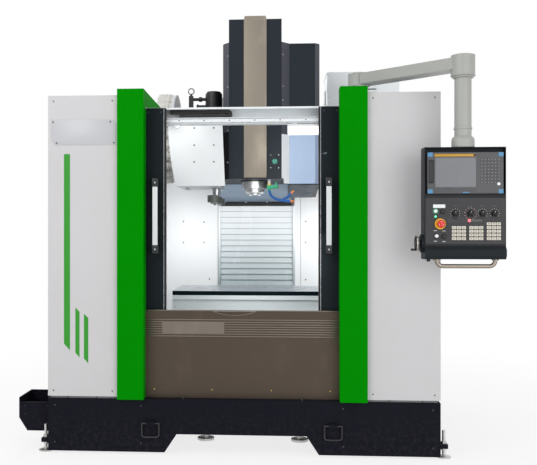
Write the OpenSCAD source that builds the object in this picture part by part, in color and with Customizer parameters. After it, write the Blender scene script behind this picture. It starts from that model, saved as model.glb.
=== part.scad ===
// Vertical machining centre with a sheet-metal cabin, two sliding doors, an arm-type
// tool changer and an operator pendant on a swing arm.
// X runs to the operator's right, Y runs away from the operator and Z is up.
// The model is drawn from the middle of the front panels and placed with the spindle axis on the origin.

/* [Cabin] */
// Width over the side guards
guard_w = 2410; // [2380:10:2600]
// Depth of the side guards
guard_depth = 1740; // [1740:5:1760]
// Step from the pillars' top down to the side guards' top
guard_step = 35; // [20:5:50]
// Thickness of the guard sheet
guard_t = 4; // [3:0.5:5]
// Clear width between the two pillars
opening_w = 1202; // [1180:2:1210]
// Width of a pillar
pillar_w = 165; // [150:5:180]
// Depth of a pillar
pillar_d = 100; // [80:5:104]
// How far the pillars stand in front of the panels
pillar_proud = 25; // [10:5:30]
// Height of the header over the beam
header_h = 95; // [80:5:110]
// Length of the side wall that runs back from each pillar above the door
header_len = 700; // [500:10:800]
// Depth of the channel beam over the doors
beam_d = 80; // [76:2:90]
// Height of the channel beam
beam_h = 105; // [95:5:115]
// Thickness of the beam's sheet
beam_t = 4; // [3:0.5:5]

/* [Base] */
// Height of the skirt's top
skirt_top = 342; // [320:2:350]
// Gap between the skirt and the floor
skirt_gap = 15; // [8:1:25]
// Thickness of the skirt's plate
skirt_t = 6; // [4:1:8]
// Width of the notch under the front of the skirt
notch_w = 948; // [800:4:1000]
// Height of the notch
notch_h = 113; // [90:1:130]
// Width of the slanted gussets in the notch
gusset_w = 75; // [50:5:100]
// Width of the ledge inside the skirt's top
ledge_w = 140; // [120:5:150]
// Height of the recessed strip between skirt and guards
strip_h = 14; // [8:1:20]
// Diameter of a levelling pad
pad_d = 86; // [70:2:100]
// Height of a levelling pad
pad_h = 14; // [10:1:14]
// Diameter of a levelling screw
screw_d = 20; // [16:1:24]

/* [Doors] */
// Width of a door
door_w = 630; // [620:2:640]
// Thickness of a door
door_t = 40; // [30:1:44]
// Height of a door
door_h = 1308; // [1290:2:1312]
// Opening left between the doors' edges
door_open_w = 958; // [930:2:970]
// Width of the window in a door
window_w = 410; // [360:5:430]
// Height of the window
window_h = 900; // [700:10:1000]
// Radius of the window's corners
window_r = 50; // [30:1:80]
// Thickness of the window pane
pane_t = 8; // [6:0.5:10]
// Length of a door handle over its brackets
handle_len = 470; // [400:5:520]
// Diameter of the handle's grip
grip_d = 34; // [28:1:40]

/* [Axes] */
// Travel of the table to each side
x_travel = 450; // [300:10:460]
// Travel of the saddle
y_travel = 600; // [450:10:600]
// Travel of the head
z_travel = 600; // [450:10:600]
// Length of the table
table_len = 1100; // [1000:10:1140]
// Depth of the table
table_w = 600; // [560:10:600]
// Thickness of the table
table_t = 96; // [80:2:100]
// Height of the table's top
table_top = 976; // [972:1:980]
// Width of a T-slot
slot_w = 18; // [14:1:22]
// Distance between T-slots
slot_pitch = 100; // [80:5:120]
// Diameter of the ball screws
ball_screw_d = 40; // [32:1:44]
// Width of a guide rail
rail_w = 45; // [35:1:50]
// Height of a guide rail
rail_h = 35; // [30:1:38]

/* [Head] */
// Height of the spindle nose
nose_z = 1655; // [1650:1:1670]
// Diameter of the spindle nose
nose_d = 89; // [84:1:96]
// Diameter of the spindle taper's mouth
taper_d = 44.45; // [40:0.05:50]
// Diameter of the spindle flange
flange_d = 196; // [180:2:210]
// Width of the front bay of the head cover
bay_w = 380; // [360:5:400]
// Height of the front bay's top
bay_top = 2911; // [2850:1:2950]
// Height of the head cover behind the bay
box_top = 2745; // [2700:5:2800]
// Width of the stainless strip
strip_w = 164; // [140:2:180]
// Thickness of the head cover's sheet
cover_t = 3; // [2:0.5:4]
// Distance between the plates of the column cover
lamella_pitch = 47; // [40:1:60]

/* [Tool changer] */
// Number of tool pots
pots = 24; // [20:1:24]
// Radius of the pot circle
pot_circle_r = 300; // [290:1:302]
// Diameter of a pot
pot_d = 72; // [60:1:74]
// Length of a pot
pot_len = 108; // [90:1:110]
// Distance from the spindle axis to the change arm's axis
arm_reach = 290; // [288:1:292]
// Drop of the change arm
arm_drop = 110; // [80:5:120]

/* [Pendant] */
// Width of the pendant
pendant_w = 456; // [440:2:480]
// Depth of the pendant
pendant_d = 110; // [100:2:130]
// Height of the pendant
pendant_h = 640; // [630:2:660]
// Wall of the pendant's housing
pendant_wall = 4; // [3:0.5:6]
// Clearance between the pillar's top and the swing arm
swing_clear = 50; // [40:2:60]
// Width of the swing arm
swing_w = 120; // [100:2:130]
// Height of the swing arm
swing_h = 70; // [60:2:80]
// Diameter of the drop tube
drop_d = 96; // [80:2:100]
// Diameter of the handle tube
handle_d = 25; // [20:1:30]
// Diameter of a rotary switch
knob_d = 30; // [24:1:34]
// Diameter of a push button
button_d = 22; // [18:1:26]

/* [Hidden] */
$fn = 48;
fit = 0.3;
run_gap = 0.5;
half_w = guard_w / 2;
open_x = opening_w / 2;
pillar_back = pillar_d - pillar_proud;
skirt_depth = guard_depth + 10;
door_y = pillar_back + 17;
door_back = door_y + door_t;
beam_y = door_back + 8;
beam_back = beam_y + beam_d;
header_back = pillar_back + header_len;
door_z = 848;
door_top = door_z + door_h;
beam_top = door_top + 9;
beam_z = beam_top - beam_h;
pillar_top = beam_top + header_h;
guard_top = pillar_top - guard_step;
lip_top = beam_z + 40;
apron_y = 60;
apron_top = 888;
sill_y = door_y - 8;
sill_z = door_z - 8;
rear_y = guard_depth - 8;
strip_top = skirt_top + strip_h;
guard_z = strip_top;

spindle_x = 60;
spindle_y = 1130;
bed_half = 370;
bed_y = 330;
bed_z = 130;
bed_top = 560;
y_rail_x = 290;
y_screw_z = 530;
screw_channel = 110;
saddle_y = 580;
saddle_len = 380;
saddle_z = 620;
saddle_top = 770;
saddle_half = x_travel + 95;
x_screw_z = 820;
x_rail_z = saddle_top;
table_bottom = table_top - table_t;
table_y = spindle_y - y_travel;
column_half = 330;
column_y = guard_depth + 75;
column_top = 2500;
z_rail_x = 235;
z_screw_y = column_y + 65;
z_cover_y = guard_depth + 5;
z_cover_top = 1592;
z_cover_closed = 152;
z_cover_z = z_cover_top - z_travel - z_cover_closed;
z_cover_half = 300;
plate_x0 = spindle_x - 295;
plate_x1 = spindle_x + 289;
passage_half = z_cover_half + 12;

head_front = 880;
head_mid = 940;
head_back = 1500;
bay_x = 67 - bay_w / 2;
bay_back = 1290;
cover_x0 = -168;
cover_x1 = 313;
side_x1 = 532;
side_chamfer = 32;
cover_z = 1759;
side_z_front = 1722;
side_z_back = 1652;
carriage_y = column_y - 40;
carriage_z = 1775;
carriage_top = 2350;
z_rail_z = carriage_z - z_travel - 415;
head_z = 1790;
head_top = 2300;
spindle_top = 2330;
bell_top = 2420;
motor_top = 2860;
arm_x = spindle_x - arm_reach;
arm_z = 1590;
arm_t = 50;
ring_z = 2080;
drive_z = 1780;
drive_top = 2296;
arm_shaft_top = drive_z + 290 + arm_drop;
disc_x = -545;
disc_t = 25;
gear_x0 = -330;
gear_x1 = -196;
shroud_y = spindle_y - 350;
shroud_z = 1705;
shroud_top = 2250;
shroud_x1 = -190;

pivot_x = 744;
pivot_y = 264;
elbow_x = 1286;
elbow_y = -222;
swing_z = pillar_top + swing_clear;
pendant_top = 1860;
pendant_bottom = pendant_top - pendant_h;
pendant_front = elbow_y - pendant_d / 2;
pendant_back = elbow_y + pendant_d / 2;
pendant_x0 = elbow_x - pendant_w / 2;
pendant_x1 = elbow_x + pendant_w / 2;
display_z = 1590;
panel_z = 1300;
cabinet_x0 = 640;
cabinet_x1 = 1225;
cabinet_y = guard_depth + 3;
cabinet_d = 500;
cabinet_z = 560;
cabinet_top = 2685;
cabinet_t = 4;
hinge_pin_d = 14;

white = [0.84, 0.83, 0.83];
green = [0.05, 0.58, 0.04];
navy = [0.10, 0.10, 0.14];
slate = [0.22, 0.25, 0.30];
stainless = [0.62, 0.58, 0.54];
cast_green = [0.62, 0.66, 0.66];
steel = [0.72, 0.74, 0.76];
black = [0.07, 0.07, 0.08];
pale = [0.90, 0.91, 0.92];

// A box between two corners
module block(x0, x1, y0, y1, z0, z1) {
    translate([x0, y0, z0]) cube([x1 - x0, y1 - y0, z1 - z0]);
}

// Round bars along the three axes
module rod_x(x0, x1, y, z, d) {
    translate([x0, y, z]) rotate([0, 90, 0]) cylinder(d = d, h = x1 - x0);
}

module rod_y(x, y0, y1, z, d) {
    translate([x, y1, z]) rotate([90, 0, 0]) cylinder(d = d, h = y1 - y0);
}

module rod_z(x, y, z0, z1, d) {
    translate([x, y, z0]) cylinder(d = d, h = z1 - z0);
}

// A side profile in Y and Z, carried along X
module profile_x(x0, x1, points) {
    translate([x0, 0, 0]) rotate([90, 0, 90]) linear_extrude(x1 - x0) polygon(points);
}

// A front profile in X and Z, carried along Y
module profile_y(y0, y1, points) {
    translate([0, y1, 0]) rotate([90, 0, 0]) linear_extrude(y1 - y0) polygon(points);
}

// A plan profile in X and Y, carried up Z
module profile_z(z0, z1, points) {
    translate([0, 0, z0]) linear_extrude(z1 - z0) polygon(points);
}

// A front outline with round corners, carried along Y
module round_panel(x0, x1, y0, y1, z0, z1, r) {
    translate([0, y1, 0]) rotate([90, 0, 0]) linear_extrude(y1 - y0) union() {
        translate([x0 + r, z0]) square([x1 - x0 - 2 * r, z1 - z0]);
        translate([x0, z0 + r]) square([x1 - x0, z1 - z0 - 2 * r]);
        for (x = [x0 + r, x1 - r]) for (z = [z0 + r, z1 - r]) translate([x, z]) circle(r);
    }
}

module mirror_x() {
    mirror([1, 0, 0]) children();
}

// Base and bed

foot_rows = [60, guard_depth / 2, guard_depth - 60];
lug_x = half_w + 30;
lug_z = 60;
lug_t = 25;

module skirt_front() {
    notch = notch_w / 2;
    profile_y(0, skirt_t, [
        [-half_w, skirt_gap], [-notch, skirt_gap], [-notch, skirt_gap + notch_h],
        [notch, skirt_gap + notch_h], [notch, skirt_gap], [half_w, skirt_gap],
        [half_w, skirt_top], [-half_w, skirt_top]
    ]);
}

module skirt_gusset(side) {
    notch = notch_w / 2;
    gusset_d = 60;
    profile_y(0, gusset_d, [
        [side * notch, skirt_gap], [side * notch, skirt_gap + notch_h],
        [side * (notch - gusset_w), skirt_gap + notch_h]
    ]);
}

module ring_clip(x) {
    clip_len = 50;
    clip_d = 26;
    difference() {
        block(x - clip_len / 2, x + clip_len / 2, -clip_d, 0, ring_pin_z - clip_d / 2, ring_pin_z + clip_d / 2);
        rod_x(x - clip_len, x + clip_len, ring_pin_y, ring_pin_z, ring_wire + 2 * run_gap);
    }
}

module base_skirt() color(navy) {
    union() {
        skirt_front();
        for (side = [-1, 1]) skirt_gusset(side);
        block(-half_w, -half_w + skirt_t, skirt_t, skirt_depth, skirt_gap, skirt_top);
        block(half_w - skirt_t, half_w, skirt_t, skirt_depth, skirt_gap, skirt_top);
        block(-half_w, -bed_half, skirt_depth - skirt_t, skirt_depth, skirt_gap, skirt_top);
        block(spindle_x + bed_half + 130, half_w, skirt_depth - skirt_t, skirt_depth, skirt_gap, skirt_top);
        difference() {
            block(-half_w, half_w, 0, skirt_depth, skirt_top - skirt_t, skirt_top);
            block(-half_w + ledge_w, half_w - ledge_w, ledge_w, skirt_depth + 1, 0, skirt_top + 1);
        }
        recess = 10;
        block(-half_w + recess, -open_x - pillar_w, recess, recess + skirt_t, skirt_top, strip_top);
        block(open_x + pillar_w, half_w - recess, recess, recess + skirt_t, skirt_top, strip_top);
        for (side = [-1, 1]) {
            x = side * (half_w - recess - skirt_t / 2);
            block(x - skirt_t / 2, x + skirt_t / 2, recess, guard_depth, skirt_top, strip_top);
        }
        for (side = [-1, 1]) for (y = foot_rows) foot_lug(side, y);
        for (side = [-1, 1]) ring_clip(side * ring_x);
    }
}

module foot_lug(side, y) {
    lug_w = 70;
    x0 = side > 0 ? half_w - skirt_t : -lug_x - screw_d;
    x1 = side > 0 ? lug_x + screw_d : -half_w + skirt_t;
    difference() {
        block(x0, x1, y - lug_w / 2, y + lug_w / 2, lug_z, lug_z + lug_t);
        rod_z(side * lug_x, y, lug_z - 1, lug_z + lug_t + 1, screw_d + 2 * fit);
    }
}

module levelling_foot(x, y, top) {
    nut_h = 14;
    rod_z(x, y, 0, pad_h - 6, pad_d);
    translate([x, y, pad_h - 6]) cylinder(d1 = pad_d, d2 = 2 * screw_d, h = 6);
    rod_z(x, y, pad_h, top, screw_d);
    translate([x, y, lug_z - nut_h]) cylinder(d = 1.7 * screw_d, h = nut_h, $fn = 6);
    translate([x, y, lug_z + lug_t]) cylinder(d = 1.7 * screw_d, h = nut_h, $fn = 6);
}

module bed_foot(x, y) {
    rod_z(x, y, 0, pad_h, 1.3 * pad_d);
    rod_z(x, y, pad_h, bed_z, 2.2 * screw_d);
}

module leveling_feet() color(steel) {
    stud_top = 166;
    for (side = [-1, 1]) for (y = foot_rows) levelling_foot(side * lug_x, y, stud_top);
    for (x = [-1, 1]) for (y = [bed_y + 70, column_y + 385]) bed_foot(spindle_x + x * (bed_half - 60), y);
    bed_foot(spindle_x, spindle_y);
}

ring_x = 560;
ring_wire = 11;
ring_w = 106;
ring_drop = 84;
ring_pin_y = -13;
ring_pin_z = 195;

module pull_ring(x) color(black) {
    half = ring_w / 2;
    bend = 18;
    bottom = ring_pin_z - ring_drop;
    union() {
        rod_x(x - half, x + half, ring_pin_y, ring_pin_z, ring_wire);
        for (side = [-1, 1]) {
            translate([x + side * half, ring_pin_y, ring_pin_z]) sphere(d = ring_wire);
            rod_z(x + side * half, ring_pin_y, bottom + bend, ring_pin_z, ring_wire);
            translate([x + side * (half - bend), ring_pin_y, bottom + bend])
                rotate([90, 0, 0]) rotate([0, 0, side > 0 ? 270 : 180])
                    rotate_extrude(angle = 90) translate([bend, 0]) circle(d = ring_wire);
        }
        rod_x(x - half + bend, x + half - bend, ring_pin_y, bottom, ring_wire);
    }
}

module left_pull_ring() pull_ring(-ring_x);

module right_pull_ring() pull_ring(ring_x);

chute_w = 215;
chute_y = 100;
chute_len = 260;
chute_top = 321;

module chip_chute() color(navy) {
    t = skirt_t;
    x1 = -half_w;
    x0 = x1 - chute_w;
    slant_z = 195;
    bottom_z = 112;
    slant_x = 53;
    front_top = 292;
    outline = [[x1, bottom_z], [x0 + slant_x, bottom_z], [x0, slant_z], [x0, chute_top], [x1, chute_top]];
    inner = [
        [x1 + 1, bottom_z + t], [x0 + slant_x + t / 2, bottom_z + t], [x0 + t, slant_z + t / 2],
        [x0 + t, chute_top + 1], [x1 + 1, chute_top + 1]
    ];
    difference() {
        profile_y(chute_y, chute_y + chute_len, outline);
        profile_y(chute_y + t, chute_y + chute_len - t, inner);
        block(x0 + t, x1 + 1, chute_y - 1, chute_y + t + 1, front_top, chute_top + 1);
    }
}

module bed_rails(y0, y1) {
    for (side = [-1, 1]) {
        x = spindle_x + side * y_rail_x;
        block(x - rail_w / 2, x + rail_w / 2, y0, y1, bed_top, bed_top + rail_h);
    }
}

y_screw_y0 = bed_y + 10;
y_screw_y1 = 1540;
bearing_t = 40;

module machine_bed() color(cast_green) {
    rear_half = 480;
    rear_y0 = skirt_depth + 5;
    rear_y1 = column_y + 515;
    rib = 30;
    x0 = spindle_x - bed_half;
    x1 = spindle_x + bed_half;
    union() {
        difference() {
            block(x0, x1, bed_y, rear_y0, bed_z, bed_top);
            block(spindle_x - screw_channel, spindle_x + screw_channel, bed_y - 1, y_screw_y1, y_screw_z - 70, bed_top + 1);
            for (side = [-1, 1]) {
                pocket = side > 0 ? x1 - 40 : x0 - 1;
                for (y = [bed_y + 60, bed_y + 520, bed_y + 980])
                    block(pocket, pocket + 41, y, y + 400, bed_z + 70, bed_top - 200);
            }
        }
        block(spindle_x - rear_half, spindle_x + rear_half, rear_y0, rear_y1, bed_z, bed_top);
        for (x = [-rear_half - rib, rear_half]) {
            profile_x(spindle_x + x, spindle_x + x + rib, [
                [rear_y0 + 60, bed_z], [rear_y1 - 60, bed_z], [rear_y1 - 60, bed_top - 60], [rear_y0 + 160, bed_top - 60]
            ]);
        }
        bed_rails(bed_y + 50, rear_y - 5);
        for (y = [y_screw_y0, y_screw_y1 - bearing_t]) difference() {
            block(spindle_x - screw_channel, spindle_x + screw_channel, y, y + bearing_t, y_screw_z - 70, bed_top);
            rod_y(spindle_x, y - 1, y + bearing_t + 1, y_screw_z, ball_screw_d - 10 + 2 * fit);
        }
    }
}

// A screw along X from 0, with journals that run in its bearings
module screw_bar(length) {
    journal = bearing_t + 5;
    rotate([0, 90, 0]) union() {
        cylinder(d = ball_screw_d - 10, h = length);
        translate([0, 0, journal]) cylinder(d = ball_screw_d, h = length - 2 * journal);
    }
}

module y_ball_screw() color(steel) {
    translate([spindle_x, y_screw_y0 - 5, y_screw_z]) rotate([0, 0, 90]) screw_bar(y_screw_y1 - y_screw_y0 + 5);
}

// A servo motor whose shaft end faces +Z from its own origin
module servo(size, length) {
    flange_t = 12;
    union() {
        translate([-size / 2, -size / 2, -flange_t]) cube([size, size, flange_t]);
        translate([0, 0, -length]) cylinder(d = size - 8, h = length - flange_t);
        translate([-size / 2, -size / 2, -length]) cube([size, size, length * 0.35]);
        translate([size / 2 - 12, -size / 5, -length * 0.25]) cube([34, size / 2.5, length * 0.2]);
    }
}

module axis_motors() color(black) {
    y_motor = 130;
    z_motor = 150;
    translate([spindle_x, bed_y, y_screw_z - 5]) rotate([-90, 0, 0]) servo(y_motor, 165);
    translate([spindle_x, z_screw_y, column_top]) rotate([180, 0, 0]) servo(z_motor, 260);
}

// Column and head guide

z_screw_z0 = 700;
z_screw_z1 = column_top - 20;

module column() color(cast_green) {
    foot_half = 435;
    foot_t = 80;
    depth = 485;
    channel_half = 100;
    channel_d = 145;
    x0 = spindle_x - column_half;
    x1 = spindle_x + column_half;
    union() {
        block(spindle_x - foot_half, spindle_x + foot_half, column_y - 35, column_y + depth + 10, bed_top, bed_top + foot_t);
        difference() {
            block(x0, x1, column_y, column_y + depth, bed_top + foot_t, column_top);
            block(spindle_x - channel_half, spindle_x + channel_half, column_y - 1, column_y + channel_d,
                z_screw_z0 - 10, column_top - 20);
            for (z = [bed_top + 200 : 420 : column_top - 400])
                block(x0 + 90, x1 - 90, column_y + depth - 120, column_y + depth + 1, z, z + 340);
        }
        for (side = [-1, 1]) {
            x = spindle_x + side * (column_half + 14);
            profile_x(x - 14, x + 14, [
                [column_y + 40, bed_top + foot_t], [column_y + depth - 30, bed_top + foot_t],
                [column_y + depth - 30, bed_top + 740], [column_y + 140, bed_top + 740]
            ]);
            rail_x = spindle_x + side * z_rail_x;
            block(rail_x - rail_w / 2, rail_x + rail_w / 2, column_y - rail_h, column_y, z_rail_z, column_top - 80);
        }
        for (z = [z_screw_z0, z_screw_z1 - bearing_t]) difference() {
            block(spindle_x - channel_half, spindle_x + channel_half, z_screw_y - 60, column_y + channel_d, z, z + bearing_t);
            rod_z(spindle_x, z_screw_y, z - 1, z + bearing_t + 1, ball_screw_d - 10 + 2 * fit);
        }
    }
}

module z_ball_screw() color(steel) {
    translate([spindle_x, z_screw_y, z_screw_z0 - 5]) rotate([0, -90, 0]) screw_bar(z_screw_z1 - z_screw_z0 + 5);
}

// Cabin

module guard(side) color(white) {
    hem = 26;
    flange_w = 110;
    x_in = open_x + pillar_w;
    multmatrix([[side, 0, 0, 0], [0, 1, 0, 0], [0, 0, 1, 0], [0, 0, 0, 1]]) union() {
        block(x_in, half_w, 0, guard_t, guard_z, guard_top);
        block(half_w - guard_t, half_w, 0, guard_depth, guard_z, guard_top);
        block(half_w - flange_w, half_w, guard_depth - guard_t, guard_depth, guard_z, guard_top);
        block(x_in, half_w, 0, hem, guard_top - guard_t, guard_top);
        block(half_w - hem, half_w, 0, guard_depth, guard_top - guard_t, guard_top);
        block(x_in, half_w, 0, hem, guard_z, guard_z + guard_t);
        block(x_in, x_in + guard_t, 0, hem, guard_z, guard_top);
    }
}

module left_guard() mirror_x() guard(1);

module right_guard() guard(1);

module pillar_shell() {
    y0 = -pillar_proud;
    t = guard_t;
    x1 = open_x + pillar_w;
    lip = 30;
    union() {
        profile_z(skirt_top, pillar_top, [
            [open_x, y0], [x1, y0], [x1, pillar_back], [x1 - lip, pillar_back], [x1 - lip, pillar_back - t],
            [x1 - t, pillar_back - t], [x1 - t, y0 + t], [open_x + t, y0 + t], [open_x + t, pillar_back - t],
            [open_x + lip, pillar_back - t], [open_x + lip, pillar_back], [open_x, pillar_back]
        ]);
        block(open_x, x1, y0, pillar_back, pillar_top - t, pillar_top);
        block(open_x, x1, y0, pillar_back, skirt_top, skirt_top + t);
    }
}

module left_pillar() color(green) mirror_x() union() {
    pillar_shell();
    block(open_x, open_x + guard_t, pillar_back, header_back, beam_top, pillar_top);
}

post_d = 90;
pin_d = 50;

module right_pillar() color(green) {
    bracket_x0 = open_x + 44;
    bracket_x1 = pivot_x + 86;
    bracket_y0 = pillar_back - guard_t;
    bracket_y1 = pivot_y + 86;
    wall = 8;
    union() {
        pillar_shell();
        difference() {
            block(bracket_x0, bracket_x1, bracket_y0, bracket_y1, beam_top, pillar_top);
            block(bracket_x0 + wall, bracket_x1 + 1, bracket_y0 + wall, bracket_y1 - wall,
                beam_top + wall, pillar_top - wall);
        }
        rod_z(pivot_x, pivot_y, pillar_top, swing_z - fit, post_d);
        rod_z(pivot_x, pivot_y, swing_z - 1, swing_z + swing_h + 2, pin_d);
        rod_z(pivot_x, pivot_y, swing_z + swing_h + fit, swing_z + swing_h + 12, post_d);
    }
}

apron_t = 4;
scallop_x0 = -190;
scallop_x1 = 102;
scallop_d = 31;
scallop_r = (pow(scallop_x1 - scallop_x0, 2) / 4 + scallop_d * scallop_d) / (2 * scallop_d);
band_z0 = 727;
band_z1 = 830;
plate_band_x0 = -497;
plate_band_x1 = -107;

module front_apron() color(stainless) {
    half = open_x;
    y1 = apron_y + apron_t;
    ribs = 8;
    rib_d = 5;
    pitch = (band_z1 - band_z0) / (ribs - 1);
    union() {
        difference() {
            union() {
                block(-half, half, apron_y, y1, skirt_top, apron_top);
                block(-half, half, apron_y, sill_y, apron_top - apron_t, apron_top);
            }
            rod_y((scallop_x0 + scallop_x1) / 2, apron_y - 1, sill_y - 8, apron_top - scallop_d + scallop_r, 2 * scallop_r);
        }
        block(-half, half, y1, y1 + 3, 640, apron_top - 6);
        for (i = [0 : ribs - 1]) {
            z = band_z0 + i * pitch;
            rod_x(-half + 4, half - 4, apron_y + 1, z, rib_d);
        }
        block(plate_band_x0, plate_band_x1, apron_y - 2.5, apron_y, band_z0 + 20, band_z1 - 18);
    }
}

module door_beam() color(pale) {
    t = beam_t;
    half = half_w - guard_t;
    y0 = beam_y;
    y1 = beam_back;
    union() {
        profile_x(-half, half, [
            [y0, beam_z], [y1, beam_z], [y1, beam_top], [y0, beam_top], [y0, beam_top - 12], [y0 + t, beam_top - 12],
            [y0 + t, beam_top - t], [y1 - t, beam_top - t], [y1 - t, beam_z + t], [y0 + t, beam_z + t],
            [y0 + t, lip_top], [y0, lip_top]
        ]);
    }
}

chain_y0 = beam_back - beam_t - 40;
chain_link = 16;

// One run of the cable carrier, made of links with small gaps cut between them
module chain_run(x0, x1, z, h) {
    links = floor((x1 - x0) / chain_link);
    step = (x1 - x0) / links;
    groove = 2;
    difference() {
        block(x0, x1, chain_y0, beam_back - beam_t, z, z + h);
        for (i = [1 : links - 1]) {
            block(x0 + i * step - groove / 2, x0 + i * step + groove / 2, chain_y0 - 1, chain_y0 + 3, z - 1, z + h + 1);
        }
    }
}

module beam_cable_chain() color(black) {
    x0 = -461;
    x1 = -90;
    link_h = 22;
    z0 = lip_top + 1;
    bend_r = 26;
    union() {
        chain_run(x0, x1, z0 + 2 * bend_r - link_h, link_h);
        chain_run(x0 + 60, x1, z0, link_h);
        difference() {
            rod_y(x1, chain_y0, beam_back - beam_t, z0 + bend_r, 2 * bend_r);
            rod_y(x1, chain_y0 - 1, beam_back, z0 + bend_r, 2 * (bend_r - link_h));
            block(x1 - 2 * bend_r, x1, chain_y0 - 1, beam_back, z0 - 1, z0 + 3 * bend_r);
        }
        block(x0, x1, chain_y0, beam_back - beam_t, beam_z + beam_t, z0);
    }
}

pan_t = 4;
splash_y = door_back + 4;

module cabin_liner() color(pale) {
    half = half_w - guard_t;
    pan_z = 600;
    pan_low = 480;
    bed_x0 = spindle_x - bed_half;
    bed_x1 = spindle_x + bed_half;
    pass_x0 = spindle_x - passage_half - 10;
    pass_x1 = spindle_x + passage_half;
    changer_x0 = -360;
    changer_z = 1960;
    union() {
        profile_y(rear_y, rear_y + pan_t, [
            [-half, 420], [bed_x0, 420], [bed_x0, bed_top + rail_h + 10], [bed_x1, bed_top + rail_h + 10], [bed_x1, 420],
            [half, 420], [half, guard_top - 6], [pass_x1, guard_top - 6], [pass_x1, z_cover_z], [pass_x0, z_cover_z],
            [pass_x0, changer_z], [changer_x0, changer_z], [changer_x0, guard_top - 6], [-half, guard_top - 6]
        ]);
        block(-half, half, splash_y, splash_y + pan_t, 380, apron_top - 8);
        block(-half, half, sill_y, splash_y, sill_z, sill_z + 4);
        block(-half, half, sill_y, sill_y + 4, sill_z, apron_top - 8);
        profile_y(splash_y + pan_t, rear_y, [
            [-half, pan_z], [bed_x0, pan_low], [bed_x0, pan_low + pan_t], [-half, pan_z + pan_t]
        ]);
        profile_y(splash_y + pan_t, rear_y, [
            [half, pan_z], [bed_x1, pan_low], [bed_x1, pan_low + pan_t], [half, pan_z + pan_t]
        ]);
        block(bed_x0, bed_x1, splash_y + pan_t, bed_y, pan_low - 100, pan_low - 100 + pan_t);
    }
}

lamp_x0 = 285;
lamp_x1 = 560;
tube_x = -480;
tube_z = beam_z + 75;

module work_lamps() color(pale) {
    lamp_h = 70;
    lamp_y0 = beam_y + 10;
    tube_d = 34;
    tube_end = 780;
    union() {
        round_panel(lamp_x0, lamp_x1, lamp_y0, beam_back - 2, beam_z - lamp_h, beam_z - 6, 14);
        for (x = [lamp_x0 + 30, lamp_x1 - 60]) block(x, x + 30, lamp_y0 + 15, beam_back - 17, beam_z - 7, beam_z);
    }
    union() {
        rod_y(tube_x, beam_back, tube_end, tube_z, tube_d);
        block(-open_x, tube_x + 8, tube_end - 90, tube_end - 60, tube_z + tube_d / 2 - 4, beam_top - 2);
        block(-open_x, -open_x + 6, tube_end - 90, tube_end - 60, beam_top - 20, beam_top + 40);
    }
}

// Doors

handle_inset = 58;
win_x0 = open_x + 14;
win_x1 = win_x0 + window_w;
win_z0 = door_z + 282;
win_z1 = win_z0 + window_h;

module door_panel(side) color(slate) {
    x_lead = door_open_w / 2;
    x_tail = x_lead + door_w;
    wall = 3;
    rim = 22;
    hook_y1 = beam_y + beam_t + 16;
    multmatrix([[side, 0, 0, 0], [0, 1, 0, 0], [0, 0, 1, 0], [0, 0, 0, 1]]) difference() {
        union() {
            difference() {
                block(x_lead, x_tail, door_y, door_back, door_z, door_top);
                block(x_lead + rim, x_tail - rim, door_y + wall, door_back + 1, door_z + rim, door_top - rim);
            }
            round_panel(win_x0 - rim, win_x1 + rim, door_y, door_y + 14, win_z0 - rim, win_z1 + rim, window_r + rim);
            for (x = [x_lead + 70, x_tail - 110]) {
                block(x, x + 40, door_back - 4, door_back + 4, lip_top - 30, door_top - 2);
                block(x, x + 40, door_back, hook_y1, lip_top + fit, lip_top + 8);
                block(x, x + 40, hook_y1 - 12, hook_y1, lip_top - 20, lip_top + 8);
            }
        }
        round_panel(win_x0, win_x1, door_y - 1, door_back, win_z0, win_z1, window_r);
        round_panel(win_x0 - 8, win_x1 + 8, door_y + 5, door_back, win_z0 - 8, win_z1 + 8, window_r + 8);
    }
}

module window_pane(side) color([0.75, 0.82, 0.85, 0.35]) {
    multmatrix([[side, 0, 0, 0], [0, 1, 0, 0], [0, 0, 1, 0], [0, 0, 0, 1]])
        round_panel(win_x0 - 7, win_x1 + 7, door_y + 5, door_y + 5 + pane_t, win_z0 - 7, win_z1 + 7, window_r + 7);
}

handle_y = 38;
handle_z = door_z + 628;

module door_handle(side) color(steel) {
    x = door_open_w / 2 + handle_inset;
    z0 = handle_z - handle_len / 2;
    z1 = handle_z + handle_len / 2;
    bracket = 56;
    multmatrix([[side, 0, 0, 0], [0, 1, 0, 0], [0, 0, 1, 0], [0, 0, 0, 1]]) union() {
        rod_z(x, handle_y, z0 + 30, z1 - 30, grip_d);
        for (z = [z0, z1 - bracket]) {
            block(x - grip_d / 2 - 3, x + grip_d / 2 + 3, handle_y - grip_d / 2 - 2, handle_y + grip_d / 2, z, z + bracket);
            block(x - 12, x + 12, handle_y, door_y, z + 10, z + bracket - 10);
        }
    }
}

module left_door() door_panel(-1);

module right_door() door_panel(1);

module left_window() window_pane(-1);

module right_window() window_pane(1);

module left_handle() door_handle(-1);

module right_handle() door_handle(1);

// Saddle and table

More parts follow.
